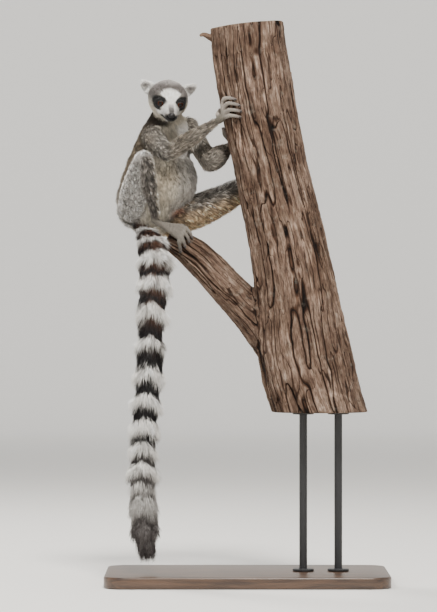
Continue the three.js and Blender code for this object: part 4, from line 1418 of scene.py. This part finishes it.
# ------------------------------------------------------------------ the perch
def bark_relief(points):
    """How far the bark stands out, how far its cracks are, its tone and its grain's own places."""
    spot = points / MM
    side = np.array([0.0, 1.0, 0.0])
    run, out, way = along_line(spot, TRUNK)
    trunk_gap = np.abs(np.linalg.norm(out, axis=1) - TRUNK_RADIUS)
    out = unit(out) * TRUNK_RADIUS
    trunk_grain = np.stack([out[:, 1], dot(out, np.cross(way, side)), run], axis=1)
    run, out, way = along_line(spot, BRANCH)
    branch_gap = np.abs(np.linalg.norm(out, axis=1) - BRANCH_RADIUS)
    out = unit(out) * BRANCH_RADIUS
    up = unit(np.cross(way, side))
    branch_grain = np.stack([dot(out, side), dot(out, up), run], axis=1) + [40.0, 70.0, 300.0]
    on_branch = ramp(trunk_gap - branch_gap, 2.0, 12.0) * (run > 20)
    total, split, hairline, tone = np.zeros((4, len(points)))
    for grain, share, size in (
        (trunk_grain, 1.0 - on_branch, 1.0), (branch_grain, on_branch, 0.78),
    ):
        # The grain sways slowly, and wavers quickly on top of that.
        shift = np.zeros_like(grain)
        for k in range(2):
            shift[:, k] = 3.5 * noise(grain * [1, 1, 0.25], 36, 60 + k)
            shift[:, k] += 1.8 * noise(grain * [1, 1, 0.5], 10, 63 + k)
        grain = (grain + shift) / size
        gate = ramp(noise(grain * [1, 1, 0.35], 26, 53), -0.45, 0.15)
        gap = lines_along(grain * [1, 1, 0.075], 12, 50) / np.maximum(gate, 0.03)
        lesser = ramp(noise(grain * [1, 1, 0.5], 15, 57), -0.5, 0.2)
        hair = lines_along(grain * [1, 1, 0.11] + 7, 6.5, 55) / np.maximum(lesser, 0.03)
        deep = ramp(np.abs(gap), 2.3, 0.2)
        fine = ramp(np.abs(hair), 1.6, 0.2)
        ridge = layered(grain * [1, 1, 0.16], 10, 59, 2)
        fibre = layered(grain * [1, 1, 0.2], 3.6, 65, 2)
        scale = ramp(noise(grain * [1, 1, 0.7], 7.0, 68), 0.2, 0.45)
        relief = size * (-2.8 * deep - 1.0 * fine + 1.4 * ridge + 0.7 * fibre + 0.5 * scale)
        total += share * relief
        split += share * np.clip(gap * size, -4, 4)
        hairline += share * np.clip(hair * size, -4, 4)
        tone += share * (0.5 * ridge + 0.5 * fibre + 0.25 * scale)
    # Rough flakes where the branch leaves the trunk.
    knot = hill(np.linalg.norm(spot - [22.0, -45.0, 478.0], axis=1) / 36.0)
    flakes = layered(spot * [1, 1, 0.7], 7.0, 75, 2)
    total += 3.4 * knot * flakes
    tone -= 0.8 * knot * ramp(flakes, -0.05, -0.4)
    place = mix(trunk_grain, branch_grain, on_branch)
    # The branch is toned darker all over: painted shade.
    tone -= 0.3 * on_branch
    return total, split, hairline, tone, place


def in_from_ends(spot):
    """How far in from the trunk's level foot or its sawn top places in mm are."""
    from_top = (np.array(TRUNK_TOP) - spot) @ np.array(TRUNK_TOP_FACES)
    return np.minimum(spot[:, 2] - TRUNK_FOOT, from_top)


def make_perch():
    """The bark over trunk and branch, with its sawn ends."""
    perch = joined_copy("perch_bark", PERCH, 0.4)
    remesh(perch, BARK_VOXEL, 5)
    points = points_of(perch.data)
    normal = unit(spread(normals_of(perch.data), edges_of(perch.data), 2))
    near_end = ramp(in_from_ends(points / MM), 5, 1)
    level = near_end * ramp(np.abs(normal[:, 2]), 0.75, 0.95)
    normal[:, 2] *= 1 - near_end
    relief = bark_relief(points)[0] * (1 - level)
    set_points(perch.data, points + unit(normal) * relief[:, None] * MM)
    thin_out(perch, BARK_TRIANGLES)
    points = points_of(perch.data)
    ends = in_from_ends(points / MM) < 2.0
    for name, values in zip(("split", "hairline", "tone", "grain"), bark_relief(points)[1:]):
        keep(perch.data, name, values * (MM if name == "grain" else 1))
    keep(perch.data, "heart", along_line(points / MM, TRUNK)[1] * MM)
    keep(perch.data, "sawn", ends * ramp(np.abs(normals_of(perch.data)[:, 2]), 0.7, 0.9))
    return perch


def bark_material():
    # Old rough bark: corky ridges weathered to a pinkish grey, dark cracks whose darkness is
    # painted shade deep in the fissures, and pale lichen.
    material, tree, surface = blank("fissured bark", None, 0.92)
    surface.inputs["Specular IOR Level"].default_value = 0.2
    grain = attribute(tree, "grain", "Vector")
    stretch = add(tree, "Mapping", {"Vector": grain}, Scale=(1, 1, 0.14)).outputs[0]
    coarse = noise_of(tree, stretch, 170.0, 6.0)
    fine = noise_of(tree, stretch, 650.0, 5.0, Roughness=0.65)
    ridges = colours(tree, coarse, [
        (0.28, "#6c584b"), (0.74, "#cbb8a8"), (0.42, "#8f7768"), (0.58, "#ad9685"),
    ])
    flecks = colours(tree, fine, [(0.36, "#7d756f"), (0.62, "#ffffff")])
    toned_and_shaded = colours(tree, attribute(tree, "tone"), [(0.0, "#84766b"), (0.45, "#ffffff")])

    def crack(name, wide, shade):
        """Dark along a kept line, as painted shade deep in the crack, and clear at a width in mm
        to either side of it.
        """
        off = maths(tree, "ABSOLUTE", attribute(tree, name))
        ragged = maths(tree, "MULTIPLY_ADD", fine, -0.9, off)
        share = maths(tree, "MULTIPLY_ADD", ragged, 1.0 / wide, 0.45 / wide)
        return colours(tree, share, [(0.0, shade), (1.0, "#ffffff"), (0.5, "#8f7a6b")])

    deep = crack("split", 1.6, "#1c130e")
    thin = crack("hairline", 1.1, "#4a3a30")
    place = object_place(tree)
    # Soft large darker patches over the bark and the sawn ends: painted dappled shade.
    dapple_patches = noise_of(tree, place, 14.0, 3.0)
    shades = colours(tree, dapple_patches, [(0.38, "#a89a8e"), (0.6, "#ffffff")])
    wood = ridges
    for layer, share in ((flecks, 0.8), (toned_and_shaded, 0.6), (thin, 0.9), (deep, 1.0), (shades, 0.7)):
        wood = blended(tree, "MULTIPLY", wood, layer, share)
    spots = noise_of(tree, place, 75.0, 4.0)
    lichen = colours(tree, spots, [(0.58, "#000000"), (0.72, "#6a6a6a")])
    crusty = blended(tree, "MULTIPLY", lichen, flecks, 1.0)
    wood = blended(tree, "MIX", wood, rgba("#cdc4b4"), crusty)
    # Sawn ends show pale rings round the heart, three millimetres apart.
    wave = add(
        tree, "TexWave", {"Vector": attribute(tree, "heart", "Vector")}, wave_type="RINGS",
        rings_direction="SPHERICAL", Scale=105.0, Distortion=2.0, Detail=2.0, Detail_Scale=0.4,
    )
    heart = colours(tree, wave.outputs["Fac"], [(0.1, "#7f6a54"), (0.8, "#a78f72")])
    heart = blended(tree, "MULTIPLY", heart, shades, 0.6)
    sawn = attribute(tree, "sawn")
    tree.links.new(blended(tree, "MIX", wood, heart, sawn), surface.inputs["Base Color"])
    lines = blended(tree, "MULTIPLY", thin, deep, 1.0)
    rough = maths(tree, "MULTIPLY_ADD", lines, 0.5, maths(tree, "ADD", coarse, fine))
    rough = maths(tree, "MULTIPLY", rough, maths(tree, "SUBTRACT", 1.0, sawn))
    bump(tree, surface, rough, 0.0018, 0.9)
    return material


finish(make_perch(), "bark", bark_material(), *PERCH)


# ------------------------------------------------------------------ the stand
def make_board():
    """A board with round corners, whose edges are eased all round."""
    length, depth = BOARD["length"] * MM / 2, BOARD["depth"] * MM / 2
    corner = BOARD["corner"] * MM
    bm = bmesh.new()
    outline = []
    for i in range(4):
        x = (length - corner) * (1 if i in (0, 3) else -1)
        y = (depth - corner) * (1 if i in (0, 1) else -1)
        for j in range(13):
            angle = math.pi / 2 * (i + j / 12)
            corner_at = (x + corner * math.cos(angle), y + corner * math.sin(angle), 0)
            outline.append(bm.verts.new(corner_at))
    face = bm.faces.new(outline)
    top = bmesh.ops.extrude_face_region(bm, geom=[face])["geom"]
    raised = [g for g in top if isinstance(g, bmesh.types.BMVert)]
    bmesh.ops.translate(bm, verts=raised, vec=(0, 0, BOARD["thickness"] * MM))
    bmesh.ops.recalc_face_normals(bm, faces=bm.faces)
    rim = [e for e in bm.edges if abs(e.verts[0].co.z - e.verts[1].co.z) < 1e-6]
    bmesh.ops.bevel(
        bm, geom=rim, offset=BOARD["bevel"] * MM, segments=4, profile=0.5, affect="EDGES"
    )
    return from_bmesh("display_board", bm)


def board_material():
    # Stained hardwood under a thin satin varnish: long grain with darker pores.
    material, tree, surface = blank(
        "stained hardwood", None, 0.38, Coat_Weight=0.25, Coat_Roughness=0.25
    )
    stretch = add(tree, "Mapping", {"Vector": object_place(tree)}, Scale=(1, 14, 14)).outputs[0]
    grain = noise_of(tree, stretch, 9.0, 8.0, Roughness=0.6, Distortion=0.6)
    tone = colours(tree, grain, [(0.3, "#2c2019"), (0.7, "#5b4332")])
    tree.links.new(tone, surface.inputs["Base Color"])
    bump(tree, surface, grain, 0.0003, 0.5)
    return material


def make_rod(name):
    """A turned steel rod with a flange at each end."""
    corners = points_of(nodes[name].data)
    x, y = (corners.max(axis=0)[:2] + corners.min(axis=0)[:2]) / 2
    low, high, flange = ROD["low"], ROD["high"], ROD["flange_height"]
    profile = [
        (0, low), (ROD["flange"] - 0.8, low), (ROD["flange"], low + 0.8),
        (ROD["flange"], low + flange - 0.8), (ROD["flange"] - 0.8, low + flange),
        (ROD["radius"] + 1, low + flange), (ROD["radius"], low + flange + 1),
    ]
    profile += [(r, low + high - z) for r, z in reversed(profile)]
    bm = turned([(r * MM, z * MM) for r, z in profile], 48, 1e-6)
    bmesh.ops.translate(bm, verts=bm.verts, vec=(x, y, 0))
    bmesh.ops.recalc_face_normals(bm, faces=bm.faces)
    return from_bmesh(name.replace("stand", "turned"), bm, smooth=False)


def steel_material():
    # Steel with a satin black powder coat: a faint orange-peel in a broad soft highlight.
    material, tree, surface = blank("satin black coated steel", "#1c1c1e", 0.42)
    bump(tree, surface, noise_of(tree, object_place(tree), 900.0, 2.0), 0.0001, 0.4)
    return material


def soften(piece, angle):
    """Smooth shading that keeps edges sharper than an angle in degrees."""
    piece.data.shade_smooth()
    piece.data.set_sharp_from_angle(angle=math.radians(angle))
    return piece


finish(soften(make_board(), 40), "board", board_material(), "stand_board")
STEEL = steel_material()
for name in ("stand_rod_1", "stand_rod_2"):
    finish(soften(make_rod(name), 35), "rod", STEEL, name)


# ------------------------------------------------------------------ camera, light and floor
VIEW_HEIGHT = 612 * 1.77 * MM  # how much the camera sees from top to bottom at the trunk
VIEW_CENTRE = Vector((-50.4, 0, 489.3)) * MM
VIEW_DISTANCE = 6.0
FLOOR_REACH, FLOOR_CURVE = 7.5, 2.5  # the level floor's radius, and that of its upward curve


def make_camera():
    data = bpy.data.cameras.new("camera")
    data.sensor_fit = "VERTICAL"
    data.sensor_height = 24.0
    data.lens = data.sensor_height * VIEW_DISTANCE / VIEW_HEIGHT
    camera = new_piece("camera", data)
    camera.location = VIEW_CENTRE - Vector((0, VIEW_DISTANCE, 0))
    camera.rotation_euler = (math.pi / 2, 0, 0)
    bpy.context.scene.camera = camera


def soft_light(name, place, target, size, power, colour):
    data = bpy.data.lights.new(name, "AREA")
    data.shape = "DISK"
    data.size = size
    data.energy = power
    data.color = colour
    light = new_piece(name, data)
    light.visible_glossy = name == "key"
    light.location = place
    aim = Vector(target) - Vector(place)
    light.rotation_euler = aim.to_track_quat("-Z", "Y").to_euler()


def make_floor():
    """A pale round floor that curves up all round into a backdrop."""
    profile = [(0.0, 0.0), (FLOOR_REACH, 0.0)]
    for i in range(1, 13):
        angle = math.pi / 2 * i / 12
        out, rise = FLOOR_CURVE * math.sin(angle), FLOOR_CURVE * (1 - math.cos(angle))
        profile.append((FLOOR_REACH + out, rise))
    profile.append((FLOOR_REACH + FLOOR_CURVE, 5.0))
    bm = turned([(r, z - 0.0005) for r, z in profile], 96, 1e-5)
    bmesh.ops.recalc_face_normals(bm, faces=bm.faces)
    bmesh.ops.reverse_faces(bm, faces=bm.faces)
    floor = from_bmesh("floor", bm)
    # Matt paper, lit from behind where it curves up, so that it stays pale far from the lamps.
    material, tree, surface = blank("pale studio paper", "#e4e2de", 0.95)
    surface.inputs["Emission Color"].default_value = rgba("#f4f3f0")
    reach = add(tree, "VectorMath", {0: object_place(tree)}, operation="LENGTH").outputs["Value"]
    glow = add(
        tree, "MapRange", {"Value": reach}, interpolation_type="SMOOTHSTEP", From_Min=2.5,
        From_Max=9.5, To_Max=0.40,
    )
    tree.links.new(glow.outputs[0], surface.inputs["Emission Strength"])
    floor.data.materials.append(material)
    floor.visible_shadow = False


make_camera()
make_floor()
soft_light("key", (0.3, -2.5, 3.9), (0, 0, 0.55), 0.9, 300, (1.0, 0.97, 0.92))
soft_light("fill", (-2.6, -3.2, 1.6), (0, 0, 0.5), 2.2, 45, (0.94, 0.97, 1.0))
soft_light("rim", (-1.4, 1.6, 2.6), (-0.1, 0, 0.65), 0.9, 90, (1.0, 0.98, 0.94))
world = bpy.data.worlds.new("studio")
bpy.context.scene.world = world
world.use_nodes = True
world.node_tree.nodes["Background"].inputs[0].default_value = (1, 1, 1, 1)
world.node_tree.nodes["Background"].inputs[1].default_value = 0.5
